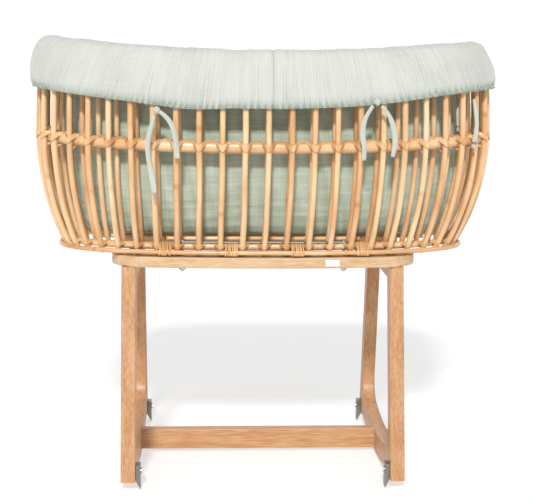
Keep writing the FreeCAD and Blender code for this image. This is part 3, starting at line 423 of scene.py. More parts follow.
# %% Knots
def knot_piece(name, seed):
    """A lumpy ball: radius = r (1 + crossing waves), inside the knot's own measured box."""
    low, high = (np.array(c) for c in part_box(name))
    centre, half = (low + high) / 2, (high - low) / 2
    polar, around = np.meshgrid(np.linspace(0.02, math.pi - 0.02, 22), np.arange(28) * 2 * math.pi / 28,
                                indexing="ij")
    waves = 0.10 * np.sin(3 * around + 2.2 * polar + seed) + 0.07 * np.sin(2 * around - 4 * polar + 2 * seed)
    swell = 0.86 + waves
    ball = np.stack([np.sin(polar) * np.cos(around), np.sin(polar) * np.sin(around), np.cos(polar)], -1)
    points = centre + ball * swell[..., None] * half * [1.0, 0.85, 1.05]
    maps = np.stack([around, polar], -1) * half[0]
    return grid_piece(name + "_tied", points, tape, [name], maps, wrap_columns=True)


for number, name in enumerate(("knot_front_left", "knot_front_right", "knot_end_inner", "knot_end_outer")):
    knot_piece(name, number)

# %% [markdown]
# Seen from above, the basket is a squared oval, |x/a|^p + |y/b|^p = 1. Everything in the wall lies
# at some inset from it, measured square to the oval. The oval is sampled once, finely, and then
# read at equal steps of its own length, so that stakes come out evenly spaced.

# %% The oval and the wall
HALF_LENGTH, HALF_WIDTH, POWER = 437.5, 235.5, 2.65
BASE_Z, WAIST_Z, RIM_Z = 446.5, 650.0, 788.0
FLARE, RIM_LEAN, BASE_SHIFT = 50.5, 6.5, -4.5
RING_Z, RING_SHEER, RIM_SHEER = 634.0, 15.0, 26.0
fine = np.linspace(0, 2 * math.pi, 14401)


def oval_at(angle):
    """Points and outward normals of the waist oval at these angles."""
    c, s = np.cos(angle), np.sin(angle)
    x = HALF_LENGTH * np.sign(c) * np.abs(c) ** (2 / POWER)
    y = HALF_WIDTH * np.sign(s) * np.abs(s) ** (2 / POWER)
    nx = np.sign(x) * np.abs(x / HALF_LENGTH) ** (POWER - 1) / HALF_LENGTH
    ny = np.sign(y) * np.abs(y / HALF_WIDTH) ** (POWER - 1) / HALF_WIDTH
    normal = np.stack([nx, ny, 0 * nx], -1)
    return np.stack([x, y, 0 * x], -1), normal / np.linalg.norm(normal, axis=-1, keepdims=True)


fine_points, _ = oval_at(fine)
fine_run = lengths_along(fine_points)
GIRTH = fine_run[-1]


def around_oval(share):
    """The oval at shares 0 to 1 of its girth, counted from the right-hand tip."""
    return oval_at(np.interp(np.mod(share, 1.0) * GIRTH, fine_run, fine))


def arc_setback(height, rise, setback):
    """How far an upright arc that leans by setback over rise has leaned at a height."""
    radius = (rise ** 2 + setback ** 2) / (2 * setback)
    return radius - np.sqrt(np.maximum(radius ** 2 - height ** 2, 0))


BASE_RISE, RIM_RISE = WAIST_Z - BASE_Z, RIM_Z - WAIST_Z
SLOPE = BASE_RISE / ((BASE_RISE ** 2 + FLARE ** 2) / (2 * FLARE) - FLARE)
LEANING = math.sqrt(1 + SLOPE ** 2)


def wall_inset(z, at_base=0.0, at_waist=0.0, at_rim=0.0):
    """Inset of the wall at height z: an arc below the waist, a gentler arc above it, straight feet."""
    flare, lean = FLARE + at_base - at_waist, RIM_LEAN + at_rim - at_waist
    below = arc_setback(WAIST_Z - np.maximum(z, BASE_Z), BASE_RISE, flare)
    foot = np.maximum(BASE_Z - z, 0) * BASE_RISE / ((BASE_RISE ** 2 + flare ** 2) / (2 * flare) - flare)
    above = arc_setback(np.maximum(z - WAIST_Z, 0), RIM_RISE, lean)
    return at_waist + np.where(z < WAIST_Z, below + foot, above)


def drift_at(z):
    """The base sits a little to the left of the waist: the shift along X at height z."""
    return BASE_SHIFT * wall_inset(np.minimum(z, WAIST_Z)) / FLARE


def sheer(x, rise):
    """The rims are boat shaped: they rise towards the ends."""
    return rise * (x / HALF_LENGTH) ** 2


STAKES = 54
stations = (np.arange(STAKES) + 0.5) / STAKES
print("girth", round(GIRTH), "mm, a stake every", round(GIRTH / STAKES, 1), "mm")

# %% [markdown]
# A cane is a round bar bent along a line. Real canes are never quite straight or quite round, so
# each line wanders by under a millimetre, the thickness breathes by a few per cent, and a faint
# ring shows where a leaf grew. All the canes of one row are worked out at once as one array.

# %% Canes
def cane_rows(name, lines, across, radius, replaced, seed, sides=12, wander=0.7):
    """Many canes in one mesh: lines[cane, row, xyz] in mm, across[cane, xyz] fixes their sideways."""
    random = np.random.default_rng(seed)
    canes, rows = lines.shape[:2]
    run = np.concatenate([np.zeros((canes, 1)),
                          np.cumsum(np.linalg.norm(np.diff(lines, axis=1), axis=2), axis=1)], axis=1)
    tangent = np.gradient(lines, axis=1)
    tangent /= np.linalg.norm(tangent, axis=2, keepdims=True)
    side = across[:, None] - tangent * np.sum(across[:, None] * tangent, axis=2, keepdims=True)
    side /= np.linalg.norm(side, axis=2, keepdims=True)
    face = np.cross(tangent, side)
    phase = random.uniform(0, 2 * math.pi, (canes, 4, 1))
    drift = np.sin(run / 55 + phase[:, 0]) + 0.6 * np.sin(run / 23 + phase[:, 1])
    sway = np.sin(run / 70 + phase[:, 2])
    lines = lines + side * drift[..., None] * wander * 0.6 + face * sway[..., None] * wander * 0.3
    first_knot = random.uniform(-120, 160, (canes, 1))
    spacing = random.uniform(210, 330, (canes, 1))
    off = np.mod(run - first_knot + spacing / 2, spacing) - spacing / 2
    knot = np.exp(-(off / 2.2) ** 2)
    thickness = radius * (1 + 0.025 * np.sin(run / 31 + phase[:, 3]) + 0.05 * knot
                          + random.uniform(-0.04, 0.04, (canes, 1)))
    angle = np.arange(sides) * 2 * math.pi / sides
    circle = np.stack([np.cos(angle), np.sin(angle)], -1)
    offset = side[:, :, None] * circle[:, 0, None] + face[:, :, None] * circle[:, 1, None]
    skin = lines[:, :, None] + offset * thickness[:, :, None, None]
    first_cap, last_cap = lines[:, :1, None] + 0 * skin[:, :1], lines[:, -1:, None] + 0 * skin[:, -1:]
    capped = np.concatenate([first_cap, skin, last_cap], 1)
    capped_run = np.concatenate([run[:, :1], run, run[:, -1:]], 1)
    all_rows = rows + 2
    index = np.arange(canes * all_rows * sides).reshape(canes, all_rows, sides)
    turned = np.roll(index, -1, axis=2)
    faces = np.stack([index[:, :-1], turned[:, :-1], turned[:, 1:], index[:, 1:]], -1).reshape(-1, 4)
    maps = np.stack([np.broadcast_to(angle / (2 * math.pi), (canes, all_rows, sides)),
                     np.broadcast_to(capped_run[:, :, None] * MM, (canes, all_rows, sides))], -1)
    tone = np.broadcast_to(random.uniform(-0.5, 0.5, (canes, 1, 1)), (canes, all_rows, sides))
    knots = np.broadcast_to(np.pad(knot, ((0, 0), (1, 1)), "edge")[:, :, None], (canes, all_rows, sides))
    stored = {"tone": np.ascontiguousarray(tone), "knot": np.ascontiguousarray(knots)}
    return grid_piece(name, capped * MM, cane, replaced, maps, stored=stored, faces=faces)


def stake_lines(insets, foot, rows=44, top_below=6.0):
    """Centrelines of the whole ring of stakes, from foot height up to just under the rim."""
    points, normals = around_oval(stations)
    top = RIM_Z + sheer(points[:, 0], RIM_SHEER) - top_below
    z = foot + (top[:, None] - foot) * np.linspace(0, 1, rows)
    inset = wall_inset(z, *insets)
    line = points[:, None] - normals[:, None] * inset[..., None]
    line[..., 0] += drift_at(z)
    line[..., 2] = z
    tangents = np.stack([-normals[:, 1], normals[:, 0], 0 * normals[:, 0]], -1)
    return line, tangents


ENDS = ("front", "rear", "left_end", "right_end")
STAKE_R, INNER_R, RING_R, RIM_R, BASE_R, LOWER_R = 5.5, 5.0, 11.0, 14.0, 6.5, 4.3
PLAY = 0.6
ring_inset = STAKE_R + RING_R + PLAY
rim_inset = STAKE_R + RIM_R + PLAY
base_inset = (STAKE_R + BASE_R + PLAY) * LEANING
inner_insets = (base_inset + (BASE_R + INNER_R + PLAY) * LEANING, ring_inset + RING_R + INNER_R + 5 * PLAY,
                rim_inset + RIM_R + INNER_R + PLAY)
OUTER_FOOT, INNER_FOOT = 433.0, 442.0
outer_lines, stake_sides = stake_lines((0, 0, 0), OUTER_FOOT)
inner_lines, _ = stake_lines(inner_insets, INNER_FOOT)
cane_rows("outer_stakes", outer_lines, stake_sides, STAKE_R, [f"outer_stakes_{e}" for e in ENDS], 11)
cane_rows("inner_stakes", inner_lines, stake_sides, INNER_R, [f"inner_stakes_{e}" for e in ENDS], 12)

# %% [markdown]
# The rings are long canes bent round the whole basket. They use the same recipe as the stakes,
# as a single line that closes on itself, so the last row repeats the first.

# %% Rings, bars and rods
UP = np.array([0.0, 0.0, 1.0])


def ring_line(inset_at, z, rise=0.0, rows=433):
    """A closed centreline at the inset of its own height, rising to the ends."""
    points, normals = around_oval(np.linspace(0, 1, rows))
    height = z + sheer(points[:, 0], rise)
    line = points - normals * (inset_at(height) + 0 * height)[:, None]
    line[:, 0] += BASE_SHIFT if z <= BASE_Z else 0
    line[:, 2] = height
    return line[None]


LOWER_Z = 437.5
lean_at_base = FLARE + base_inset
lower_inset = FLARE + (BASE_Z - LOWER_Z) * SLOPE - (STAKE_R + LOWER_R + PLAY) * LEANING
for name, line, radius, sides in (
        ("waist_ring", ring_line(lambda z: ring_inset, RING_Z, RING_SHEER), RING_R, 18),
        ("rim_pole", ring_line(lambda z: wall_inset(z) + rim_inset, RIM_Z, RIM_SHEER), RIM_R, 16),
        ("upper_base_ring", ring_line(lambda z: lean_at_base, BASE_Z), BASE_R, 14),
        ("lower_base_ring", ring_line(lambda z: lower_inset, LOWER_Z), LOWER_R, 12)):
    cane_rows(name + "_cane", line, UP[None], radius, [name], sides, sides=sides, wander=0.0)


def straight_lines(starts, ends, rows=30):
    """Straight centrelines between two lists of points."""
    share = np.linspace(0, 1, rows)[None, :, None]
    return starts[:, None] * (1 - share) + ends[:, None] * share


def side_y(x, inset):
    """Half width of the inset oval at places along X."""
    points, normals = around_oval(np.linspace(0.0, 0.25, 2000))
    moved = points - normals * inset
    return np.interp(x, moved[::-1, 0], moved[::-1, 1])


BAR_PITCH, BAR_R, ROD_PITCH, ROD_R = 123.0, 5.9, 45.0, 4.45
END_GAP, ROD_END, ROD_LIFT = 2.4, 4.5, 10.5
quarter = np.linspace(0.0, 0.25, 2000)
bar_x = np.arange(-1.5, 2) * BAR_PITCH
bar_y = side_y(np.abs(bar_x), lean_at_base + BASE_R + END_GAP)
bar_ends = np.stack([bar_x, bar_y, np.full(4, BASE_Z)], -1)
base_middle = np.array([BASE_SHIFT, 0, 0])
bar_lines = straight_lines(bar_ends * [1, -1, 1], bar_ends) + base_middle
cane_rows("cross_bar_canes", bar_lines, np.tile([1.0, 0, 0], (4, 1)), BAR_R, ["cross_bars"], 21, wander=0.0)
rod_y = np.arange(-3, 4) * ROD_PITCH
rod_points, rod_normals = around_oval(quarter)
rod_moved = rod_points - rod_normals * (FLARE + inner_insets[0] + INNER_R + END_GAP + ROD_END)
rod_x = np.interp(np.abs(rod_y), rod_moved[:, 1], rod_moved[:, 0])
rod_ends = np.stack([rod_x, rod_y, np.full(7, BASE_Z + ROD_LIFT)], -1)
rod_lines = straight_lines(rod_ends * [-1, 1, 1], rod_ends, 60) + base_middle
cane_rows("base_rod_canes", rod_lines, np.tile([0, 1.0, 0], (7, 1)), ROD_R, ["base_rods"], 22, wander=0.0)

# %% [markdown]
# Strips of rattan peel tie the stakes to the waist ring. Between two stakes a strip arches over
# the ring, and on each stake the two neighbouring strips come down and meet in a V. Each strip is a
# sheet of two parameters: the place along the bay, and the place across the strip. Near mid bay it
# lies on the ring, at a turn round the ring's own centre, and near a stake it lifts off to cross in
# front of the stake. A smooth weight blends the two.

# %% Waist bindings
def smooth(value, low, high):
    """0 below low, 1 above high, smooth between."""
    t = np.clip((value - low) / (high - low), 0, 1)
    return t * t * (3 - 2 * t)


def ring_frame(share, inset, z, rise):
    """Centre and outward direction of a ring at shares of the girth."""
    points, normals = around_oval(share)
    centre = points - normals * inset
    centre[..., 0] += BASE_SHIFT if z <= BASE_Z else 0
    centre[..., 2] = z + sheer(points[..., 0], rise)
    return centre, normals


PEEL = 0.9


def strips(name, centre, outward, cross, reach, seed, thick=PEEL):
    """Closed peel strips. cross holds out-and-up offsets for [strip, along, across]."""
    random = np.random.default_rng(seed)
    out, up = cross[..., 0], cross[..., 1]
    top = centre[:, :, None] + outward[:, :, None] * out[..., None] + UP * up[..., None]
    along = np.gradient(top, axis=1)
    over = np.gradient(top, axis=2)
    normal = np.cross(along, over)
    normal /= np.linalg.norm(normal, axis=-1, keepdims=True) + 1e-9
    facing = np.sign(np.sum(normal * outward[:, :, None], -1, keepdims=True).mean(2, keepdims=True))
    normal = normal * np.where(facing == 0, 1, facing)
    under = top[:, :, ::-1] - normal[:, :, ::-1] * thick
    skin = np.concatenate([top, under], axis=2)
    count, rows, columns = skin.shape[:3]
    index = np.arange(count * rows * columns).reshape(count, rows, columns)
    turned = np.roll(index, -1, axis=2)
    faces = np.stack([index[:, :-1], index[:, 1:], turned[:, 1:], turned[:, :-1]], -1).reshape(-1, 4)
    width = cross.shape[2]
    u = np.concatenate([np.linspace(0, 0.3, width), np.linspace(0.3, 0, width)])
    v = np.linspace(0, reach * MM, rows)
    maps = np.stack(np.broadcast_arrays(u[None, None, :], v[None, :, None],
                                        np.zeros((count, 1, 1))), -1)[..., :2]
    tone = np.broadcast_to(random.uniform(-0.5, 0.5, (count, 1, 1)), index.shape)
    return grid_piece(name, skin * MM, peel, None, np.ascontiguousarray(maps),
                      stored={"tone": np.ascontiguousarray(tone), "knot": np.zeros(index.shape)}, faces=faces)


# bay runs from one stake to the next, from_stake is the distance to the nearer one in mm, and
# across runs over the strip's width; turn is the angle round the ring's own centre
bay = np.linspace(-0.5, 0.5, 33)
pitch = GIRTH / STAKES
bay_share = (np.arange(STAKES)[:, None] + 1.0 + bay[None]) / STAKES
bay_centre, bay_out = ring_frame(bay_share, ring_inset, RING_Z, RING_SHEER)
from_stake = (0.5 - np.abs(bay)) * pitch
across = np.linspace(0, 1, 7)
mid = smooth(from_stake, 1.0, 0.5 * pitch)
low_turn = np.radians(-18 + 74 * mid)[:, None]
turn = low_turn + np.radians(58 + 30 * mid)[:, None] * across
hug = RING_R + PEEL + 0.25 * np.sin(math.pi * across)
on_ring = np.stack([hug * np.cos(turn), hug * np.sin(turn)], -1)
front = ring_inset + STAKE_R + 1.0
rise = -7.5 + 12 * across[None] + 7.0 * smooth(from_stake, 0, 10)[:, None]
fall = 0.10 * np.clip(from_stake - 2, 0, None)[:, None] ** 1.3
dome = front + 0.4 * np.sin(math.pi * across)[None] - fall
on_stake = np.stack([dome, rise + 0 * dome], -1)
crossing = 1 - smooth(from_stake, 4.0, 13.5)[:, None, None]
cross = on_ring * (1 - crossing) + on_stake * crossing
cross = np.broadcast_to(cross, (STAKES,) + cross.shape)
arches = strips("waist_arches", bay_centre, bay_out, cross, pitch, 31)
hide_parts("waist_bindings")

# short ties that pass under the ring beside each stake
tie_span = np.linspace(0, 1, 15)
for way in (-1, 1):
    tie_share = stations[:, None] + way * (1.0 + 7.5 * tie_span[None]) / GIRTH
    centre, outward = ring_frame(tie_share, ring_inset, RING_Z, RING_SHEER)
    sweep = np.radians(-24 - 120 * tie_span)[:, None] + np.radians(-20) * np.linspace(0, 1, 5)[None]
    lift = RING_R + PEEL + (front - RING_R - 0.6) * (1 - smooth(tie_span, 0.0, 0.42))[:, None]
    under = np.stack([lift * np.cos(sweep), lift * np.sin(sweep)], -1)
    strips(f"waist_under_ties_{'left' if way < 0 else 'right'}", centre, outward,
           np.broadcast_to(under, (STAKES,) + under.shape), 40, 32 + way)

# %% [markdown]
# At the base the stakes are lashed to a lighter ring with the same arches, and four times on each
# long side a bundle of nine turns takes in both base rings, where a cross bar ends. A turn is a
# strip that goes right round like a belt: at each angle it touches whichever ring reaches further.

# %% Base bindings
base_centre, base_out = ring_frame(bay_share, lean_at_base, BASE_Z, 0.0)
base_turn = np.radians(-24 + 70 * mid)[:, None] + np.radians(64 + 26 * mid)[:, None] * across
base_hug = BASE_R + 0.8
on_base = np.stack([base_hug * np.cos(base_turn), base_hug * np.sin(base_turn)], -1)
base_front = base_inset / LEANING + STAKE_R + 1.3
base_rise = -5.5 + 9 * across[None] + 4.0 * smooth(from_stake, 0, 9)[:, None]
lean_out = base_rise * 0.5
on_foot = np.stack([base_front + lean_out - fall, base_rise + 0 * lean_out], -1)
base_cross = on_base * (1 - crossing) + on_foot * crossing
base_cross = np.broadcast_to(base_cross, (STAKES,) + base_cross.shape)
strips("base_arches", base_centre, base_out, base_cross, pitch, 41, thick=0.7)

turns_each, turn_pitch, turn_play = 9, 2.6, 1.3
loop = np.linspace(0, 2 * math.pi, 29)
upper_reach, lower_reach = BASE_R + turn_play, LOWER_R + turn_play
apart_out, apart_up = lean_at_base - lower_inset, LOWER_Z - BASE_Z
on_upper = np.cos(loop) * -apart_out + np.sin(loop) * -apart_up + upper_reach - lower_reach > 0
reach_out = np.where(on_upper, upper_reach * np.cos(loop), apart_out + lower_reach * np.cos(loop))
upwards = np.where(on_upper, upper_reach * np.sin(loop), apart_up + lower_reach * np.sin(loop))
evenly = (np.arange(turns_each) - (turns_each - 1) / 2) * turn_pitch
width = np.array([-1.25, -0.6, 0.6, 1.25])
bulge = np.array([0.0, 0.45, 0.45, 0.0])
bundles = []
for side in (-1, 1):
    for x0 in bar_x:
        random = np.random.default_rng(int(abs(x0) * 7 + side * 3 + (x0 > 0)))
        y0 = side * side_y(abs(x0), lean_at_base)
        slopes = random.normal(0, 1.0, turns_each)
        shifts = evenly + random.normal(0, 0.35, turns_each)
        outwards = side * reach_out
        sway = slopes[:, None, None] * np.sin(loop)[None, :, None]
        px = BASE_SHIFT + x0 + shifts[:, None, None] + sway + width
        py = y0 + (outwards[None, :, None] + side * np.cos(loop)[None, :, None] * bulge)
        pz = BASE_Z + (upwards[None, :, None] + np.sin(loop)[None, :, None] * bulge)
        bundles.append(np.stack(np.broadcast_arrays(px, py, pz), -1))
bundles = np.concatenate(bundles)
count, rows, columns = bundles.shape[:3]
index = np.arange(count * rows * columns).reshape(count, rows, columns)
quads = [index[:, :-1, :-1], index[:, 1:, :-1], index[:, 1:, 1:], index[:, :-1, 1:]]
faces = np.stack(quads, -1).reshape(-1, 4)
maps = np.stack(np.broadcast_arrays(np.linspace(0, 0.2, columns)[None, None], (loop * 0.008)[None, :, None],
                                    np.zeros((count, 1, 1))), -1)[..., :2]
tone = np.random.default_rng(5).uniform(-0.5, 0.4, (count, 1, 1)) + np.zeros((count, rows, columns))
lashings = grid_piece("base_lashings", bundles * MM, peel, ["base_bindings"],
                      np.ascontiguousarray(maps), stored={"tone": tone, "knot": 0 * tone}, faces=faces)
thicken = lashings.modifiers.new("peel thickness", "SOLIDIFY")
thicken.thickness = 0.6 * MM
thicken.offset = -1

# %% [markdown]
# Folds in cloth come in all sizes at once. This pattern adds many sine waves that run round the
# basket a whole number of times, so it closes on itself, each leaning a little and drifting along
# the height. Folding the waves over, as 1 - |sin|, makes the crests sharp and the hollows round.

# %% Fold pattern
def folds(share, height, waves, lean, seed, sharp=0.5):
    """Sum of waves in share of girth and height in mm, between -1 and 1, with steady crests."""
    random = np.random.default_rng(seed)
    total, weight = np.zeros(np.broadcast(share, height).shape), 0.0
    for count in waves:
        turns = int(count * random.uniform(0.85, 1.2))
        phase = random.uniform(0, 2 * math.pi)
        drift = 0.8 * np.sin(height / random.uniform(30, 70) + phase * 2 + 6 * math.pi * share)
        tilt = lean * height * turns / 60
        wave = np.sin(2 * math.pi * turns * share + phase + drift + tilt)
        half_turn = (2 * math.pi * turns * share + phase + drift + tilt) / 2
        folded = (1 - sharp) * wave + sharp * (1 - 2 * np.abs(np.sin(half_turn)))
        envelope = 0.55 + 0.45 * np.sin(2 * math.pi * round(random.uniform(2, 9)) * share + 3 * phase)
        amount = 1 / count ** 0.35
        total += folded * amount * envelope
        weight += amount
    return total / weight


print("fold pattern ready")

# %% [markdown]
# The bag of the liner hangs inside the stakes. It is a sheet of two parameters, round the basket
# and down the wall, which turns in at the hem and closes across the bottom. It is pulled tight near
# the waist and gathers in level creases towards the hem, where an elastic edge draws it in.

# %% Liner bag
bag_low, bag_high = (np.array(c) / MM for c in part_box("liner_bag"))
columns = 620
bag_share = np.arange(columns) / columns
wall_rows = 58
down = np.linspace(0, 1, wall_rows)
points, normals = around_oval(bag_share)
hem_z = bag_low[2] + 6.0 + 4.5 * folds(bag_share, 0 * bag_share, (9, 23, 41), 0, 3, 0.3)
wall_z = (bag_high[2] - 0.5) + (hem_z[None] - bag_high[2] + 0.5) * down[:, None]
at_bag = np.array(inner_insets) + INNER_R + 3.0
inset = wall_inset(wall_z, *at_bag)
level = folds(np.broadcast_to(wall_z / 260 + 0.02 * np.sin(bag_share * 40), wall_z.shape),
              bag_share[None] * 900, (7, 12, 19), 0.02, 8, 0.6)
upright = folds(bag_share[None], wall_z, (38, 66, 120), 0.05, 9, 0.4)
towards_hem = smooth(down, 0.45, 0.95)[:, None]
gather = folds(bag_share[None], wall_z, (90, 150, 210), 0.0, 10, 0.7)
depth = 1.3 + 3.2 * (1 - upright) + 1.1 * towards_hem * (1 - level) \
    + 1.6 * smooth(down, 0.86, 1)[:, None] * (1 - gather)
SEAM_ABOVE, SEAM_WIDE = 11, 1.6
seam = np.exp(-((wall_z - hem_z[None] - SEAM_ABOVE) / SEAM_WIDE) ** 2)
# Painted shade: how far the colour is darkened in each fold valley and in the gathers near the hem.
valley_shade = 0.5 * (0.25 - upright) + 0.6 * towards_hem * (0.1 - level) \
    + 0.6 * smooth(down, 0.9, 1)[:, None] * (0.4 - gather)
tuck = 5.0 * smooth(down, 0.93, 1.0)[:, None] ** 2
total_inset = inset + depth + 1.2 * seam + tuck
wall = points[None] - normals[None] * total_inset[..., None]
wall[..., 0] += drift_at(wall_z)
wall[..., 2] = wall_z
floor_share = np.linspace(1, 0, 14)[1:]
rim_points = wall[-1]
floor_z = bag_low[2] + 0.6 + (rim_points[None, :, 2] - bag_low[2] - 0.6) * floor_share[:, None] ** 9
floor_xy = rim_points[None] * floor_share[:, None, None]
floor_xy[..., 2] = floor_z
bag = np.concatenate([wall, floor_xy])
bag_crease_shade = np.concatenate([np.clip(valley_shade, 0, 1), np.zeros(floor_z.shape)])
girth_m = GIRTH * MM * bag_share
down_m = np.concatenate([wall_z[:, 0], wall_z[-1, 0] - 150 * (1 - floor_share)]) * MM
bag_map = np.stack(np.broadcast_arrays(girth_m[None], down_m[:, None]), -1)
liner_bag = grid_piece("liner_bag_cloth", bag * MM, gauze_in_shade, ["liner_bag"],
                       np.ascontiguousarray(bag_map), wrap_columns=True, stored={"crease_shade": bag_crease_shade})
wadding = liner_bag.modifiers.new("wadding", "SOLIDIFY")
wadding.thickness = 2.5 * MM
wadding.offset = 1

# %% [markdown]
# The deep edge folds over the rim pole and hangs outside like a cuff. Its section is one curve: up
# the outside, over the pole and a little way down the inside. Gathers pinch it at its lower edge,
# where a drawstring runs, and fan out and fade on the way up.

# %% Liner roll
roll_columns = 860
roll_share = np.arange(roll_columns) / roll_columns
points, normals = around_oval(roll_share)
x = points[:, 0]
HEM_Z, HEM_SHEER = 703, 36
rim = RIM_Z + sheer(x, RIM_SHEER)
sag, lift = 5.5 * np.exp(-((x + 150) / 65) ** 2), 6.0 * np.exp(-((x - 330) / 110) ** 2)
hem = HEM_Z + sheer(x, HEM_SHEER) - sag + lift
TOP = RIM_R + 7.0
back = inner_insets[2] + RIM_LEAN + INNER_R + 5.0
# each point: millimetres out from the oval, share of the way from hem to rim, millimetres above
profile = np.array([(6.5, 0.03, 0), (8.0, 0.0, 0), (11.0, 0.05, 0), (13.0, 0.2, 0), (13.4, 0.4, 0),
                    (12.6, 0.62, 0), (10.0, 0.85, 0), (5.0, 1.0, 4), (-2.0, 1.0, TOP - 7),
                    (-12.0, 1.0, TOP - 1.5), (-24.0, 1.0, TOP),
                    (-38.0, 1.0, TOP - 2), (-50.0, 1.0, TOP - 9), (-back - 2.5, 1.0, 0),
                    (-back - 4.0, 1.0, -18), (-back - 4.0, 1.0, -40)])
section_rows = 54
along_section = np.linspace(0, 1, section_rows)


def spread(values):
    """Catmull-Rom through the profile's values, read at every row."""
    position = along_section * (len(values) - 1)
    k = np.clip(position.astype(int), 0, len(values) - 2)
    f = position - k
    padded_values = np.concatenate([values[:1], values, values[-1:]])
    a, b, c, d = (padded_values[k + n] for n in range(4))
    square, cube = 2 * a - 5 * b + 4 * c - d, 3 * b - a - 3 * c + d
    return 0.5 * (2 * b + (c - a) * f + square * f ** 2 + cube * f ** 3)


out = spread(profile[:, 0])[:, None] + 0 * x[None]
share_up = np.clip(spread(profile[:, 1]), 0, 1)[:, None]
above = spread(profile[:, 2])[:, None]
height = hem[None] + (rim - hem)[None] * share_up + above
skirt_end = bag_high[2] - 9.0
skirt = np.clip((along_section[:, None] - 0.86) / 0.14, 0, 1)
height = height * (1 - skirt) + skirt_end * skirt
section_run = lengths_along(np.stack([out[:, 0], height[:, 0], 0 * out[:, 0]], -1))
d_out, d_up = np.gradient(out, axis=0), np.gradient(height, axis=0)
length = np.sqrt(d_out ** 2 + d_up ** 2) + 1e-6
skin_out, skin_up = d_up / length, -d_out / length
fan = -np.sign(np.sin(2 * math.pi * roll_share)) * np.cos(2 * math.pi * roll_share)
reach = section_run[:, None]
fanned = roll_share[None] + 0.00022 * reach * fan[None]
pinch = folds(fanned, reach * 0.3, (150, 190, 230), 0.0, 15, 0.6)
crinkled = folds(fanned, reach * 0.4, (70, 105, 150, 190), 0.0, 16, 0.8)
broad = folds(fanned, reach * 0.5, (11, 19, 34), 0.0, 17, 0.3)
near_hem = 1 - smooth(height - hem[None], 3.0, 24.0) * (along_section[:, None] > 0.06)
near_hem = near_hem * (along_section < 0.5)[:, None]
ends = smooth(np.abs(x) / HALF_LENGTH, 0.7, 1.0) * np.where(x > 0, 5.0, -3.0)
shoulder = np.exp(-((along_section - 0.50) / 0.17) ** 2)[:, None] \
    * smooth(np.abs(x) / HALF_LENGTH, 0.75, 1.0)[None] * np.where(x > 0, 9.0, 6.0)[None]
slump = smooth(share_up, 0.1, 1.0) * (1 - smooth(along_section, 0.62, 0.8))[:, None]
soft = 2.4 * (broad - 0.3) + 1.5 * (crinkled - 0.5) + 4.0 * near_hem * (pinch - 0.6) - slump * ends[None] \
    - shoulder
# Painted shade: the colour is darkened in the crinkle valleys, and most in the pinched gathers at the hem.
roll_crease_shade = np.clip(0.12 * (0.1 - crinkled) + 1.3 * near_hem ** 1.5 * (0.35 - pinch), 0, 0.75)
front_seam, rear_seam = 0.753, 0.25
seams = sum(np.exp(-(((roll_share - place + 0.5) % 1 - 0.5) * GIRTH / SEAM_WIDE) ** 2)
            for place in (front_seam, rear_seam))
soft = soft - 1.6 * seams[None] - 0.3
out = out + skin_out * soft
height = height + skin_up * soft
height[0] += 1.4 * pinch[0]
roll_points = points[None] + normals[None] * out[..., None]
roll_points[..., 2] = height
roll_map = np.stack(np.broadcast_arrays(GIRTH * MM * fanned, (section_run * MM)[:, None]), -1)
# The seams' dips get painted shade too, through the same stored value.
liner_roll = grid_piece("liner_roll_cloth", roll_points * MM, gauze, ["liner_roll"],
                        np.ascontiguousarray(roll_map), wrap_columns=True,
                        stored={"crease_shade": np.clip(roll_crease_shade + 0.5 * seams[None], 0, 1)})
edge = liner_roll.modifiers.new("cloth thickness", "SOLIDIFY")
edge.thickness = 3.0 * MM
edge.offset = 1

# %% [markdown]
# The mattress is a foam pad in a plain cotton cover. Its top is gently crowned and its edge is
# round, and it is pressed flat below, where it lies on the bag's floor.

# %% Mattress
mat_low, mat_high = (np.array(c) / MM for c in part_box("mattress"))
ring_shares = np.arange(360) / 360
points, normals = around_oval(ring_shares)
edge_inset = HALF_LENGTH - (mat_high[0] - mat_low[0]) / 2 + 11
thick = mat_high[2] - mat_low[2]
turn = np.linspace(0, math.pi, 19)
side_out = -9 + 9 * np.sin(turn) ** 0.8
side_z = mat_low[2] + thick * (0.5 - 0.5 * np.cos(turn)) - 3 * (turn > 1.6)
edge_rows = points[None] - normals[None] * (edge_inset - side_out)[:, None, None]
mat_middle = (mat_low[0] + mat_high[0]) / 2
edge_rows[..., 2] = side_z[:, None]
shrink = np.linspace(1, 0, 24)[1:]
top_rows = edge_rows[-1][None] * shrink[:, None, None]
dimple = 0.5 * np.sin(top_rows[..., 0] / 31) * np.sin(top_rows[..., 1] / 27)
top_rows[..., 2] = side_z[-1] + 3 * (1 - shrink[:, None] ** 6) + dimple * (1 - shrink[:, None])
bottom_rows = edge_rows[0][None] * shrink[::-1][:, None, None]
bottom_rows[..., 2] = side_z[0]
pad = np.concatenate([bottom_rows, edge_rows, top_rows])
pad[..., 0] += mat_middle
pad_map = pad[..., :2] * MM
mattress = grid_piece("mattress_pad", pad * MM, cover, ["mattress"],
                      np.ascontiguousarray(pad_map), wrap_columns=True, body="mattress")

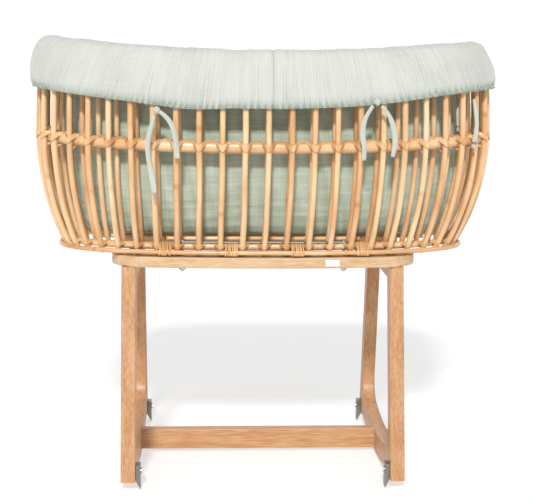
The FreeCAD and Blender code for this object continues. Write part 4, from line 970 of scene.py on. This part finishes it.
# %% [markdown]
# The stage is a pale floor that runs far back, under a white sky. A soft sun high in front, a touch
# to the left, gives the shadows that the roll and the stakes throw on the cloth. The sky fills the
# rest: it lights the scene at half strength, and looks pure white where it is seen.

# %% Stage
bpy.ops.mesh.primitive_plane_add(size=60, location=(0, 20, -0.0005))
floor = bpy.context.object
floor.name = "floor"
paint, _, paint_shader = new_material("pale_floor")
paint_shader.inputs["Base Color"].default_value = linear("#B4B4B4")
paint_shader.inputs["Emission Color"].default_value = (1, 1, 1, 1)
paint_shader.inputs["Emission Strength"].default_value = 0.56
paint_shader.inputs["Roughness"].default_value = 0.9
floor.data.materials.append(paint)
world = bpy.data.worlds.new("white sky")
world.use_nodes = True
sky_tree = world.node_tree
lighting_sky = sky_tree.nodes["Background"]
lighting_sky.inputs["Color"].default_value = (1, 1, 1, 1)
lighting_sky.inputs["Strength"].default_value = 0.48
seen_sky = add(sky_tree, "Background", {"Color": (1, 1, 1, 1), "Strength": 1.0}).outputs[0]
looking = add(sky_tree, "LightPath").outputs["Is Camera Ray"]
sky = add(sky_tree, "MixShader", {0: looking, 1: lighting_sky.outputs[0], 2: seen_sky})
sky_tree.links.new(sky.outputs[0], sky_tree.nodes["World Output"].inputs["Surface"])
scene.world = world
lamp = bpy.data.lights.new("key", "SUN")
lamp.energy = 2.75
lamp.angle = math.radians(6)
key = bpy.data.objects.new("key", lamp)
scene.collection.objects.link(key)
key.matrix_world = Matrix.Rotation(math.radians(-6), 4, "Z") @ Matrix.Rotation(math.radians(54), 4, "X")
bpy.ops.mesh.primitive_plane_add(size=1, location=(0, 30, 14), rotation=(math.pi / 2, 0, 0))
backdrop = bpy.context.object
backdrop.name = "backdrop"
backdrop.scale = (90, 30, 1)
glow, _, glow_shader = new_material("white_backdrop")
glow_shader.inputs["Base Color"].default_value = (0, 0, 0, 1)
glow_shader.inputs["Emission Color"].default_value = (1, 1, 1, 1)
glow_shader.inputs["Emission Strength"].default_value = 1.0
backdrop.data.materials.append(glow)
scene.view_settings.view_transform = "Standard"
print("stage set")
